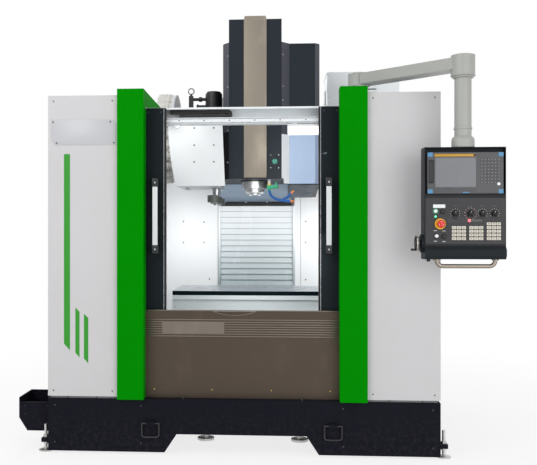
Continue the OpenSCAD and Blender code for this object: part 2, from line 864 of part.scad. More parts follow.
module saddle() color(cast_green) {
    x0 = spindle_x - saddle_half;
    x1 = spindle_x + saddle_half;
    y1 = saddle_y + saddle_len;
    groove = rail_w / 2 + run_gap;
    shoe = rail_w / 2 + 28;
    mid_y = saddle_y + saddle_len / 2;
    nut_half = 55;
    union() {
        difference() {
            block(x0, x1, saddle_y, y1, saddle_z, saddle_top);
            for (x = [x0 - 1, spindle_x + y_rail_x + 90])
                block(x, x + saddle_half - y_rail_x - 89, saddle_y - 1, y1 + 1, saddle_z - 1, saddle_z + 70);
            block(spindle_x - 470, spindle_x + 470, mid_y - 60, mid_y + 60, saddle_top - 30, saddle_top + 1);
        }
        for (side = [-1, 1]) for (y = [saddle_y, y1 - 110]) {
            x = spindle_x + side * y_rail_x;
            difference() {
                block(x - shoe, x + shoe, y, y + 110, bed_top + 8, saddle_z);
                block(x - groove, x + groove, y - 1, y + 111, bed_top, bed_top + rail_h + run_gap);
            }
        }
        difference() {
            block(spindle_x - nut_half, spindle_x + nut_half, mid_y - 60, mid_y + 60, y_screw_z - 45, saddle_z);
            rod_y(spindle_x, mid_y - 61, mid_y + 61, y_screw_z, ball_screw_d + 2 * run_gap);
        }
        for (y = [saddle_y + 55, y1 - 55]) block(x0, x1, y - rail_w / 2, y + rail_w / 2, saddle_top, saddle_top + rail_h);
        for (x = [x0, x1 - bearing_t]) difference() {
            block(x, x + bearing_t, mid_y - 50, mid_y + 50, saddle_top - 30, x_screw_z + 45);
            rod_x(x - 1, x + bearing_t + 1, mid_y, x_screw_z, ball_screw_d - 10 + 2 * fit);
        }
        translate([x1, mid_y, x_screw_z]) rotate([0, -90, 0]) rotate([0, 0, 180]) servo(100, 170);
    }
}

module x_ball_screw() color(steel) {
    mid_y = saddle_y + saddle_len / 2;
    translate([spindle_x - saddle_half + 2, mid_y, x_screw_z]) screw_bar(2 * saddle_half - 7);
}

module t_slot(y) {
    neck = 20;
    head_w = 32;
    head_h = 14;
    x0 = spindle_x - table_len / 2 - 1;
    x1 = spindle_x + table_len / 2 + 1;
    block(x0, x1, y - slot_w / 2, y + slot_w / 2, table_top - neck - 1, table_top + 1);
    block(x0, x1, y - head_w / 2, y + head_w / 2, table_top - neck - head_h, table_top - neck);
}

module worktable() color(steel) {
    x0 = spindle_x - table_len / 2;
    x1 = spindle_x + table_len / 2;
    mid_y = saddle_y + saddle_len / 2;
    groove = rail_w / 2 + run_gap;
    shoe = rail_w / 2 + 22;
    slots = 5;
    union() {
        difference() {
            block(x0, x1, table_y, table_y + table_w, table_bottom, table_top);
            for (i = [0 : slots - 1]) t_slot(table_y + table_w / 2 + (i - (slots - 1) / 2) * slot_pitch);
        }
        for (x = [spindle_x - 330, spindle_x + 210]) for (y = [saddle_y + 55, saddle_y + saddle_len - 55]) difference() {
            block(x, x + 120, y - shoe, y + shoe, saddle_top + 8, table_bottom);
            block(x - 1, x + 121, y - groove, y + groove, saddle_top, saddle_top + rail_h + run_gap);
        }
        difference() {
            block(spindle_x - 45, spindle_x + 45, mid_y - 48, mid_y + 48, x_screw_z - 40, table_bottom);
            rod_x(spindle_x - 46, spindle_x + 46, mid_y, x_screw_z, ball_screw_d + 2 * run_gap);
        }
    }
}

module table_front_cover() color(steel) {
    x0 = spindle_x - table_len / 2;
    x1 = spindle_x + table_len / 2;
    y = table_y;
    z0 = 800;
    z1 = table_top - 31;
    union() {
        block(x0, x1, y - 4, y, z0, z1);
        block(x0, x1, y - 22, y - 4, z1 - 4, z1);
        block(x0, x1, y - 22, y - 18, z1 - 26, z1);
        for (x = [x0 + 40, x1 - 60]) block(x, x + 20, y, y + 24, table_bottom - 26, table_bottom);
    }
}

// A covers profile with stepped plates, from y0 to y1, rising by step height each plate
module way_cover(y0, y1, plates) {
    half = y_rail_x + 45;
    z0 = bed_top + rail_h + 4;
    t = 4;
    step = 4;
    n = plates - 1;
    len = (y1 - y0) / plates;
    union() for (i = [0 : n]) {
        z = z0 + i * step;
        a = y0 + i * len;
        block(spindle_x - half, spindle_x + half, a, a + len + (i < n ? 6 : 0), z, z + t + (i < n ? 1 : 0));
    }
}

module y_way_covers() color(steel) {
    rear0 = saddle_y + saddle_len + fit;
    way_cover(bed_y + 50, saddle_y - fit, 5);
    translate([0, rear0 + rear_y, 0]) mirror([0, 1, 0]) way_cover(rear0, rear_y, 6);
}

module z_way_cover() color(pale) {
    height = z_cover_top - z_cover_z;
    plates = round(height / lamella_pitch);
    pitch = height / plates;
    tip = 9;
    back = z_cover_y + 20;
    outline = concat([[back, z_cover_z], [back, z_cover_top]], [for (i = [plates - 1 : -1 : 0]) each [
        [z_cover_y + tip, z_cover_z + (i + 1) * pitch], [z_cover_y, z_cover_z + i * pitch + 4],
        [z_cover_y, z_cover_z + i * pitch]
    ]]);
    profile_x(spindle_x - z_cover_half, spindle_x + z_cover_half, outline);
}

// Head

housing_d = 150;
shaft_d = 64;

module spindle_head() color(cast_green) {
    half = 150;
    groove = rail_w / 2 + run_gap;
    shoe = rail_w / 2 + 26;
    nut_half = 55;
    carriage_half = 285;
    body_y = spindle_y - 120;
    union() {
        difference() {
            union() {
                block(spindle_x - half, spindle_x + half, body_y, head_back, head_z, head_top);
                profile_z(head_z, carriage_top, [
                    [spindle_x - half, head_back - 60], [spindle_x + half, head_back - 60],
                    [spindle_x + carriage_half - 10, head_back + 60], [spindle_x + carriage_half - 10, carriage_y],
                    [spindle_x - carriage_half + 10, carriage_y], [spindle_x - carriage_half + 10, head_back + 60]
                ]);
            }
            rod_z(spindle_x, spindle_y, nose_z + 45, bell_top - 20, housing_d);
        }
        for (side = [-1, 1]) for (z = [carriage_z + 20, carriage_top - 110]) {
            x = spindle_x + side * z_rail_x;
            difference() {
                block(x - shoe, x + shoe, carriage_y - 12, column_y - 8, z, z + 110);
                block(x - groove, x + groove, column_y - rail_h - run_gap, column_y, z - 1, z + 111);
            }
        }
        difference() {
            block(spindle_x - nut_half, spindle_x + nut_half, carriage_y - 20, z_screw_y + 45, 2000, 2120);
            rod_z(spindle_x, z_screw_y, 1999, 2121, ball_screw_d + 2 * run_gap);
        }
        block(spindle_x - 105, spindle_x + 105, spindle_y - 105, spindle_y + 105, bell_top, motor_top);
        difference() {
            block(spindle_x - 125, spindle_x + 125, spindle_y - 115, spindle_y + 125, head_top, bell_top);
            rod_z(spindle_x, spindle_y, head_top - 1, bell_top - 30, housing_d);
        }
    }
}

module spindle_housing() color(steel) {
    step_z = nose_z + 17;
    difference() {
        union() {
            rod_z(spindle_x, spindle_y, step_z + 28, cover_z, flange_d);
            rod_z(spindle_x, spindle_y, cover_z, spindle_top, housing_d);
            rod_z(spindle_x, spindle_y, step_z, step_z + 28, 138);
            translate([spindle_x, spindle_y, step_z - 8]) cylinder(d1 = 118, d2 = 138, h = 8);
        }
        rod_z(spindle_x, spindle_y, step_z - 9, step_z + 20, nose_d + 2 * run_gap);
        rod_z(spindle_x, spindle_y, step_z - 9, spindle_top + 1, shaft_d + 2 * run_gap);
    }
}

module spindle_shaft() color(steel) {
    taper_l = 65;
    taper_ratio = 7 / 24;
    key_w = 16;
    difference() {
        union() {
            rod_z(spindle_x, spindle_y, nose_z, nose_z + 36, nose_d);
            rod_z(spindle_x, spindle_y, nose_z, spindle_top, shaft_d);
            for (side = [-1, 1])
                block(spindle_x + side * 33 - 8, spindle_x + side * 33 + 8, spindle_y - key_w / 2, spindle_y + key_w / 2, nose_z - 6, nose_z);
        }
        translate([spindle_x, spindle_y, nose_z - 0.001])
            cylinder(d1 = taper_d, d2 = taper_d - taper_l * taper_ratio, h = taper_l);
        rod_z(spindle_x, spindle_y, nose_z + taper_l - 1, nose_z + taper_l + 40, 18);
    }
}

// Plan outline of the head cover's main box, drawn in by an inset
function cover_plan(inset) = [
    [cover_x0 + inset, head_back + 1], [cover_x0 + inset, head_mid + inset * 0.4],
    [bay_x + inset * 0.8, head_front + inset], [bay_x + bay_w - inset * 0.8, head_front + inset],
    [cover_x1 - inset, head_mid + inset * 0.4], [cover_x1 - inset, head_back + 1]
];

function side_plan(inset) = [
    [cover_x1 + 0.001 + inset, head_back + (inset > 0 ? 1 : 0)], [cover_x1 + 0.001 + inset, head_mid + inset],
    [side_x1 - side_chamfer - inset * 0.4, head_mid + inset], [side_x1 - inset, head_mid + side_chamfer + inset],
    [side_x1 - inset, head_back + (inset > 0 ? 1 : 0)]
];

module main_cover() {
    t = cover_t;
    difference() {
        union() {
            intersection() {
                profile_z(cover_z, box_top, cover_plan(0));
                block(-1000, 1000, 0, head_back, 0, 3000);
            }
            block(bay_x, bay_x + bay_w, head_front, bay_back, cover_z, bay_top);
        }
        profile_z(cover_z + t, box_top - t, cover_plan(t));
        block(bay_x + t, bay_x + bay_w - t, head_front + t, bay_back - t, cover_z + t, bay_top - t);
        rod_z(spindle_x, spindle_y, cover_z - 1, cover_z + t + 1, flange_d - 30);
    }
}

module side_cover() {
    t = cover_t;
    drop = (side_z_front - side_z_back) / (head_back - head_mid);
    difference() {
        profile_z(side_z_back, box_top, side_plan(0));
        profile_z(side_z_back - 1, box_top - t, side_plan(t));
        profile_x(cover_x1 - 1, side_x1 + 1, [
            [head_front, side_z_front + drop * (head_mid - head_front)], [head_back + 1, side_z_back - drop],
            [head_back + 1, side_z_back - 90], [head_front, side_z_back - 90]
        ]);
    }
    difference() {
        profile_x(cover_x1 + t, side_x1 - t, [
            [head_mid + t, side_z_front], [head_back, side_z_back], [head_back, side_z_back + t], [head_mid + t, side_z_front + t]
        ]);
        profile_z(side_z_back - 1, box_top, [
            [side_x1 - side_chamfer - t, head_mid], [side_x1, head_mid], [side_x1, head_mid + side_chamfer + t]
        ]);
    }
}

module lower_plate() {
    t = 4;
    back = z_cover_y + 10;
    fold_z = 1630;
    profile_x(plate_x0, plate_x1, [
        [head_back + 1, cover_z + 2], [back, fold_z], [back, z_cover_top], [back + t, z_cover_top],
        [back + t, fold_z + 2], [head_back + 1, cover_z + 2 + t]
    ]);
    block(plate_x0 + 40, plate_x1 - 40, back + t, carriage_y, fold_z - 2, fold_z + 10);
    block(spindle_x - 120, spindle_x + 120, carriage_y - 12, carriage_y, fold_z - 2, carriage_z + 15);
}

module head_cover() color(slate) {
    union() {
        main_cover();
        side_cover();
        lower_plate();
    }
}

module head_strip() color(stainless) {
    x0 = 67 - strip_w / 2;
    x1 = 67 + strip_w / 2;
    t = 8;
    z0 = cover_z + 10;
    z1 = bay_top + 25;
    profile_x(x0, x1, [
        [head_front - t, z0], [head_front, z0], [head_front, bay_top], [head_front + 60, bay_top],
        [head_front + 60, bay_top + t], [head_front + 20, z1], [head_front + 2, z1], [head_front - t, z1 - 12]
    ]);
}

hose_d = 14;
fitting_x = 168;
fitting_y = 930;

// Points of the two jointed nozzle hoses, starting under the fitting
hose_a = [
    [168, 925, 1690], [169, 921, 1668], [176, 914, 1647], [190, 906, 1630], [210, 899, 1617],
    [232, 893, 1609], [255, 888, 1604], [279, 884, 1601], [303, 881, 1598], [326, 879, 1596]
];
hose_b = [
    [255, 888, 1604], [277, 888, 1613], [297, 888, 1626], [314, 889, 1642], [328, 890, 1657]
];

// A ball-jointed segment between two points
module hose_link(a, b) {
    d = b - a;
    length = norm(d);
    turn = atan2(d[1], d[0]);
    tilt = acos(d[2] / length);
    translate(a) rotate([0, tilt, turn]) union() {
        sphere(d = hose_d + 4, $fn = 24);
        cylinder(d1 = hose_d, d2 = hose_d + 3, h = length * 0.85, $fn = 24);
    }
}

module nozzle(a, b) {
    d = b - a;
    length = norm(d);
    turn = atan2(d[1], d[0]);
    tilt = acos(d[2] / length);
    translate(b) rotate([0, tilt, turn]) union() {
        sphere(d = hose_d + 4, $fn = 24);
        cylinder(d1 = hose_d + 4, d2 = 8, h = 24, $fn = 24);
    }
}

module coolant_hoses() color([0.25, 0.5, 0.75]) {
    valve_y = fitting_y - 12;
    union() {
        rod_z(fitting_x, fitting_y, 1690, cover_z, 26);
        difference() {
            block(fitting_x - 18, fitting_x + 66, fitting_y - 20, fitting_y + 16, 1690, 1716);
            rod_y(fitting_x + 48, fitting_y - 21, fitting_y - 8, 1703, 10 + 2 * fit);
        }
        for (i = [0 : len(hose_a) - 2]) hose_link(hose_a[i], hose_a[i + 1]);
        for (i = [0 : len(hose_b) - 2]) hose_link(hose_b[i], hose_b[i + 1]);
        nozzle(hose_a[len(hose_a) - 2], hose_a[len(hose_a) - 1]);
        nozzle(hose_b[len(hose_b) - 2], hose_b[len(hose_b) - 1]);
    }
}

module coolant_valve() color([0.1, 0.6, 0.4]) {
    x = fitting_x + 48;
    y = fitting_y - 20;
    z = cover_z - 56;
    union() {
        rod_y(x, y - 8, y + 12 - fit, z, 10);
        rod_y(x, y - 14, y - fit, z, 22);
        block(x - 6, x + 6, y - 12, y - 4, z, z + 35);
    }
}

// Tool changer

module magazine_cover() color(pale) {
    t = cover_t;
    x0 = disc_x - 8;
    y0 = shroud_y;
    y1 = 2 * spindle_y - shroud_y;
    sweep_r = 2200;
    sweep_z = 2200;
    front_lip = 44;
    points = 8;
    curve = [for (i = [0 : points]) let (z = shroud_z + (sweep_z - shroud_z) * i / points)
        [x0 + sweep_r - sqrt(sweep_r * sweep_r - pow(sweep_z - z, 2)), z]];
    union() {
        profile_y(y0, y0 + t, concat(curve, [
            [x0, shroud_top], [shroud_x1 + front_lip / 2, shroud_top], [shroud_x1 + front_lip, shroud_z]
        ]));
        block(shroud_x1 - t, shroud_x1, y0, y1, shroud_z, shroud_top);
        difference() {
            profile_y(y1 - t, y1, concat(curve, [[x0, shroud_top], [shroud_x1, shroud_top], [shroud_x1, shroud_z]]));
            block(arm_x - 122, arm_x - 38, y1 - t - 1, y1 + 1, ring_z - 60, shroud_top + 1);
        }
        difference() {
            block(curve[0][0], shroud_x1, y0, y1, shroud_z, shroud_z + t);
            block(curve[0][0] + 30, disc_x + 110, spindle_y - 120, spindle_y + 120, shroud_z - 1, shroud_z + t + 1);
            rod_z(arm_x, spindle_y, shroud_z - 1, shroud_z + t + 1, 110);
        }
        for (y = [spindle_y - 180, spindle_y + 120])
            block(gear_x1, shroud_x1 - t, y, y + 40, ring_z + 50, ring_z + 110);
    }
}

hub_d = 60;

module changer_drive() color(black) {
    bracket_x0 = arm_x - 120;
    bracket_x1 = arm_x - 40;
    y0 = spindle_y - 80;
    y1 = spindle_y + 210;
    hub_end = disc_x + disc_t + 20;
    motor_x = gear_x1 - 64;
    motor_y = spindle_y + 140;
    motor_d = 130;
    motor_h = 144;
    post_x = motor_x - 175;
    post_w = 34;
    post_top = drive_top + 129;
    eye_r = 22;
    union() {
        difference() {
            block(gear_x0, gear_x1, y0, y1, drive_z, drive_top);
            rod_z(arm_x, spindle_y, drive_z - 1, arm_shaft_top + 20, shaft_od + 2 * run_gap);
            rod_x(gear_x0 - 1, gear_x0 + 41, spindle_y, ring_z, hub_d + 2 * run_gap);
        }
        block(bracket_x0, bracket_x1, y1, column_y + 120, ring_z - 50, drive_top - 6);
        difference() {
            rod_x(hub_end, gear_x0, spindle_y, ring_z, 170);
            rod_x(hub_end - 1, gear_x0 + 1, spindle_y, ring_z, hub_d + 2 * run_gap);
        }
        difference() {
            block(hub_end + 10, gear_x0, spindle_y - 40, spindle_y + 210, ring_z + 60, drive_top);
            rod_x(hub_end - 1, gear_x0 + 1, spindle_y, ring_z, 100);
        }
        rod_z(motor_x, motor_y, drive_top, drive_top + motor_h, motor_d);
        rod_z(motor_x, motor_y, drive_top + motor_h, drive_top + motor_h + 12, motor_d - 18);
        rod_x(post_x, motor_x, motor_y, drive_top + 104, 24);
        rod_x(post_x + 40, motor_x - 40, motor_y + 20, drive_top + 44, 40);
        block(post_x - post_w / 2, post_x + post_w / 2, motor_y - 20, motor_y + 14, drive_top - 6, post_top);
        rod_z(post_x, motor_y - 3, post_top, post_top + 15, 18);
        translate([post_x, motor_y - 3, post_top + 15 + eye_r]) rotate([90, 0, 0])
            rotate_extrude() translate([eye_r, 0]) circle(d = 9);
    }
}

shaft_od = 60;

module tool_pot() {
    rotate([0, -90, 0]) union() {
        cylinder(d = pot_d * 0.78, h = 20);
        translate([0, 0, 16]) cylinder(d = pot_d, h = pot_len - 22);
        translate([0, 0, pot_len - 6.001]) cylinder(d1 = pot_d, d2 = pot_d - 8, h = 6);
    }
}

module tool_magazine() color([0.9, 0.88, 0.84]) {
    disc_r = 330;
    union() {
        difference() {
            rod_x(disc_x, disc_x + disc_t, spindle_y, ring_z, 2 * disc_r);
            for (i = [0 : 5]) translate([disc_x - 1, spindle_y, ring_z]) rotate([60 * i, 0, 0]) translate([0, 0, 165])
                rotate([0, 90, 0]) cylinder(d = 110, h = disc_t + 2);
        }
        rod_x(disc_x, gear_x0 + 40, spindle_y, ring_z, hub_d);
        rod_x(disc_x - 30, disc_x, spindle_y, ring_z, 120);
        for (i = [0 : pots - 1]) translate([disc_x + 1, spindle_y, ring_z]) rotate([360 / pots * i, 0, 0])
            translate([0, 0, pot_circle_r]) tool_pot();
    }
}

module arm_shaft() color(steel) {
    union() {
        rod_z(arm_x, spindle_y, arm_z + arm_t + fit, arm_shaft_top, shaft_od);
        rod_z(arm_x, spindle_y, arm_z - 8, arm_z + arm_t + 1, 26);
        rod_z(arm_x, spindle_y, arm_z - 12, arm_z - fit, 50);
    }
}

module arm_grip() {
    jaw_r = 32;
    wall = 13;
    difference() {
        union() {
            rod_z(0, arm_reach, 0, arm_t, 2 * (jaw_r + wall));
            block(-27, 27, 0, arm_reach, 0, arm_t);
        }
        rod_z(0, arm_reach, -1, arm_t + 1, 2 * jaw_r);
        block(-80, 0, arm_reach - jaw_r * 0.85, arm_reach + jaw_r * 0.85, -1, arm_t + 1);
    }
}

module change_arm() color(steel) {
    translate([arm_x, spindle_y, arm_z]) difference() {
        union() {
            arm_grip();
            rotate([0, 0, 180]) arm_grip();
            rod_z(0, 0, 0, arm_t, 88);
        }
        rod_z(0, 0, -1, arm_t + 1, 26 + 2 * run_gap);
    }
}

// Pendant

module swing_arm() color([0.78, 0.78, 0.76]) {
    dx = elbow_x - pivot_x;
    dy = elbow_y - pivot_y;
    length = norm([dx, dy]);
    turn = atan2(dy, dx);
    elbow_top = swing_z + swing_h + 12;
    elbow_z = swing_z - 33;
    hub = swing_w + 16;
    union() {
        difference() {
            union() {
                rod_z(pivot_x, pivot_y, swing_z, swing_z + swing_h, hub);
                translate([pivot_x, pivot_y, swing_z + 2]) rotate([0, 0, turn])
                    translate([pin_d, -swing_w / 2, 0]) cube([length - pin_d, swing_w, swing_h - 4]);
            }
            rod_z(pivot_x, pivot_y, swing_z - 1, swing_z + swing_h + 1, pin_d + 2 * run_gap);
        }
        rod_z(elbow_x, elbow_y, elbow_z, elbow_top, hub);
        rod_z(elbow_x, elbow_y, pendant_top + 54, elbow_z + 10, drop_d);
        rod_z(elbow_x, elbow_y, pendant_top + 20, pendant_top + 64, 60);
    }
}

module pendant_housing() color(black) {
    w = pendant_wall;
    collar_h = 54;
    nose_y = pendant_front - 18;
    x0 = pendant_x0;
    x1 = pendant_x1;
    union() {
        difference() {
            block(x0, x1, pendant_front, pendant_back, pendant_bottom, pendant_top);
            block(x0 + w, x1 - w, pendant_front - 1, pendant_front + 30, display_z + w, pendant_top - w);
            block(x0 + w, x1 - w, pendant_front - 1, pendant_front + 14, panel_z + w, display_z - w);
            block(x0 + w, x1 - w, pendant_front + 34, pendant_back - w, panel_z + w, pendant_top - w);
        }
        profile_x(x0, x1, [
            [pendant_front, panel_z - 6], [nose_y, panel_z - 26], [nose_y, pendant_bottom + 20],
            [pendant_front, pendant_bottom]
        ]);
        difference() {
            rod_z(elbow_x, elbow_y, pendant_top, pendant_top + collar_h - fit, 118);
            rod_z(elbow_x, elbow_y, pendant_top + 20 - fit, pendant_top + collar_h, 60 + 2 * run_gap);
        }
        rod_x(x0 - 14, x0, elbow_y, wheel_z, 104);
        rod_x(x0 - 22, x0 - 14, elbow_y, wheel_z, 40);
        rod_x(x0 - 34, x0 - 22, elbow_y, wheel_z, axle_d);
    }
}

module display_unit() color([0.35, 0.35, 0.36]) {
    w = pendant_wall;
    y1 = pendant_front + 30;
    x0 = pendant_x0 + 20;
    x1 = pendant_x1 - 8;
    z0 = display_z + 8;
    z1 = pendant_top - 30;
    screen_x0 = x0 + 42;
    screen_x1 = x0 + 274;
    union() {
        difference() {
            block(x0, x1, pendant_front - 6, y1, z0, z1);
            block(screen_x0, screen_x1, pendant_front - 7, pendant_front, z0 + 32, z1 - 30);
            block(x0 + 8, x0 + 34, pendant_front - 7, pendant_front + 4, z0 + 54, z1 - 44);
        }
        for (i = [0 : 9]) for (j = [0 : 4]) {
            block(x1 - 122 + j * 22, x1 - 106 + j * 22, pendant_front - 9, pendant_front - 6, z0 + 50 + i * 16, z0 + 61 + i * 16);
        }
    }
}

// Round openings of the operator panel, each with its centre and diameter
estop_at = [1146, 1422];
start_at = [1119, 1495];
hold_at = [1160, 1492];
power_on_at = [1125, 1353];
power_off_at = [1167, 1350];
mode_at = [1230, 1481];
feed_at = [1316, 1481];
spindle_at = [1382, 1481];
rapid_at = [1449, 1481];
stem_d = 16;

module operator_panel() color([0.2, 0.2, 0.22]) {
    x0 = pendant_x0 + pendant_wall + 0.5;
    x1 = pendant_x1 - pendant_wall - 0.5;
    z0 = panel_z + pendant_wall + 0.5;
    z1 = display_z - pendant_wall - 0.5;
    key_w = 22;
    key_h = 15;
    key_gap_x = 28;
    key_gap_z = 21;
    union() {
        difference() {
            block(x0, x1, pendant_front, pendant_front + 14, z0, z1);
            for (p = [start_at, hold_at, power_on_at, power_off_at, estop_at, mode_at, feed_at, spindle_at, rapid_at])
                rod_y(p[0], pendant_front - 1, pendant_front + 12, p[1], stem_d + 2 * run_gap);
        }
        for (block_x = [1211, 1308, 1406]) for (i = [0 : 2]) for (j = [0 : (block_x > 1400 ? 4 : 3)])
            block(block_x + i * key_gap_x, block_x + i * key_gap_x + key_w, pendant_front - 3, pendant_front,
                1332 + j * key_gap_z, 1332 + j * key_gap_z + key_h);
        block(1106, 1174, pendant_front - 2, pendant_front, 1513, 1533);
        block(1303, 1381, pendant_front - 2, pendant_front, 1434, 1448);
    }
}

module push_button(at, colour) color(colour) {
    union() {
        rod_y(at[0], pendant_front - 12, pendant_front - 4, at[1], button_d);
        rod_y(at[0], pendant_front - 5, pendant_front + 8, at[1], stem_d);
    }
}

module start_button() push_button(start_at, "white");

module hold_button() push_button(hold_at, black);

module power_on_button() push_button(power_on_at, "white");

module power_off_button() push_button(power_off_at, black);

module emergency_stop() color([0.85, 0.2, 0.15]) {
    head_d = 46;
    union() {
        rod_y(estop_at[0], pendant_front - 36, pendant_front - 24, estop_at[1], head_d);
        rod_y(estop_at[0], pendant_front - 25, pendant_front - 12, estop_at[1], 30);
        rod_y(estop_at[0], pendant_front - 13, pendant_front + 4, estop_at[1], stem_d);
    }
}

module rotary_knob(at) color(black) {
    wings = 5;
    translate([at[0], pendant_front - 1, at[1]]) rotate([90, 0, 0]) union() {
        cylinder(d = knob_d, h = 4);
        cylinder(d = 0.55 * knob_d, h = 20);
        for (i = [0 : wings - 1]) rotate([0, 0, 90 + 360 / wings * i]) translate([0, -3, 0]) cube([knob_d / 2, 6, 18]);
        translate([0, 0, -12]) cylinder(d = stem_d, h = 13);
    }
}

module mode_knob() rotary_knob(mode_at);

module feed_knob() rotary_knob(feed_at);

module spindle_knob() rotary_knob(spindle_at);

module rapid_knob() rotary_knob(rapid_at);

wheel_z = 1310;
wheel_d = 92;
axle_d = 12;

module handwheel() color(black) {
    x1 = pendant_x0 - 22 - fit;
    union() {
        difference() {
            rod_x(x1 - 20, x1, elbow_y, wheel_z, wheel_d);
            rod_x(x1 - 21, x1 - 12, elbow_y, wheel_z, wheel_d - 16);
            rod_x(x1 - 14, x1 + 1, elbow_y, wheel_z, axle_d + 2 * run_gap);
        }
        difference() {
            rod_x(x1 - 22, x1 - 10, elbow_y, wheel_z, 34);
            rod_x(x1 - 14, x1 + 1, elbow_y, wheel_z, axle_d + 2 * run_gap);
        }
        rod_x(x1 - 46, x1 - 10, elbow_y, wheel_z - 36, 14);
    }
}

// A tube bent through the points of the pendant's handle
module pendant_handle() color(stainless) {
    x0 = 1131;
    x1 = 1460;
    bar_y = pendant_front + 22;
    z = 1180;
    bend = 34;
    union() {
        rod_x(x0 + bend, x1 - bend, bar_y, z, handle_d);
        for (side = [0, 1]) {
            x = side == 0 ? x0 : x1;
            cx = side == 0 ? x0 + bend : x1 - bend;
            rod_z(x, bar_y, z + bend, pendant_bottom - 2, handle_d);
            translate([cx, bar_y, z + bend]) rotate([90, 0, 0]) rotate([0, 0, side == 0 ? 180 : 270])
                rotate_extrude(angle = 90) translate([bend, 0]) circle(d = handle_d);
            rod_z(x, bar_y, pendant_bottom - 6, pendant_bottom, handle_d + 16);
        }
    }
}

// Electrical cabinet

module electrical_cabinet() color(pale) {
    t = cabinet_t;
    y1 = cabinet_y + cabinet_d;
    vents = 12;
    vent_z = cabinet_top - 325;
    ear = 24;
    union() {
        difference() {
            block(cabinet_x0, cabinet_x1, cabinet_y, y1, cabinet_z, cabinet_top);
            block(cabinet_x0 + t, cabinet_x1 - t, cabinet_y + t, y1 + 1, cabinet_z + t, cabinet_top - t);
            for (i = [0 : vents - 1])
                block(cabinet_x0 - 1, cabinet_x0 + t + 1, cabinet_y + 160, cabinet_y + 340, vent_z + i * 18, vent_z + 7 + i * 18);
        }
        block(cabinet_x0 + 60, cabinet_x1 - 60, cabinet_y + t, cabinet_y + t + 3, cabinet_z + 120, cabinet_top - 120);
        for (z = [cabinet_z + 340 : 400 : cabinet_top - 500])
            block(cabinet_x0 + 110, cabinet_x1 - 110, cabinet_y + t + 3, cabinet_y + 140, z, z + 220);
        for (z = [cabinet_z + 200, cabinet_top - 300]) difference() {
            block(cabinet_x1, cabinet_x1 + ear, y1 - ear, y1, z, z + 60);
            rod_z(cabinet_x1 + ear / 2, y1 - ear / 2, z - 1, z + 61, hinge_pin_d + 2 * run_gap);
        }
        for (x = [cabinet_x0 + 30, cabinet_x1 - 70]) profile_x(x, x + 40, [
            [skirt_depth, skirt_top - 60], [skirt_depth + 30, skirt_top - 60], [y1 - 60, cabinet_z], [skirt_depth, cabinet_z]
        ]);
    }
}

module cabinet_door() color(pale) {
    t = cabinet_t;
    y0 = cabinet_y + cabinet_d + 1;
    ear = 24;
    pin_x = cabinet_x1 + ear / 2;
    pin_y = y0 - 1 - ear / 2;
    union() {
        block(cabinet_x0, cabinet_x1, y0, y0 + t, cabinet_z, cabinet_top);
        block(cabinet_x0 + 8, cabinet_x0 + 12, y0 - 15, y0, cabinet_z + 12, cabinet_top - 12);
        block(cabinet_x0 + 40, cabinet_x0 + 64, y0 + t, y0 + t + 18, cabinet_z + 1000, cabinet_z + 1120);
        for (z = [cabinet_z + 200, cabinet_top - 300]) {
            rod_z(pin_x, pin_y, z - 20, z + 78, hinge_pin_d);
            for (k = [z - 20, z + 60 + fit]) {
                rod_z(pin_x, pin_y, k, k + 20 - fit, ear - 2);
                block(pin_x - 4, pin_x + 4, pin_y, y0 + t, k, k + 20 - fit);
                block(cabinet_x1 - 1, pin_x + 4, y0, y0 + t, k, k + 20 - fit);
            }
        }
    }
}

module place() {
    translate([-spindle_x, -spindle_y, 0]) children();
}

place() base_skirt();
place() leveling_feet();
place() chip_chute();
place() machine_bed();
place() column();
place() axis_motors();
place() left_guard();
place() right_guard();
place() left_pillar();
place() right_pillar();
place() front_apron();
place() door_beam();
place() beam_cable_chain();
place() cabin_liner();
place() work_lamps();
place() magazine_cover();
place() changer_drive();
place() electrical_cabinet();
place() y_way_covers();
place() z_way_cover();
place() saddle();
place() worktable();
place() table_front_cover();
place() spindle_head();
place() head_cover();
place() head_strip();
place() spindle_housing();
place() coolant_hoses();
place() spindle_shaft();
place() coolant_valve();
place() left_door();
place() right_door();
place() left_window();
place() right_window();
place() left_handle();
place() right_handle();
place() tool_magazine();
place() arm_shaft();
place() change_arm();
place() x_ball_screw();
place() y_ball_screw();
place() z_ball_screw();
place() swing_arm();
place() pendant_housing();
place() display_unit();
place() operator_panel();
place() pendant_handle();
place() emergency_stop();
place() start_button();
place() hold_button();
place() power_on_button();
place() power_off_button();
place() mode_knob();
place() feed_knob();
place() spindle_knob();
place() rapid_knob();
place() handwheel();
place() cabinet_door();
place() left_pull_ring();
place() right_pull_ring();
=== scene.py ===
"""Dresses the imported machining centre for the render.

Shapes are written in millimetres from the middle of the front panels, as in the part's source:
x to the operator's right, y away from the operator, z up from the floor.
Form.piece() moves them into the frame, whose origin lies under the spindle, in metres.
"""
import math

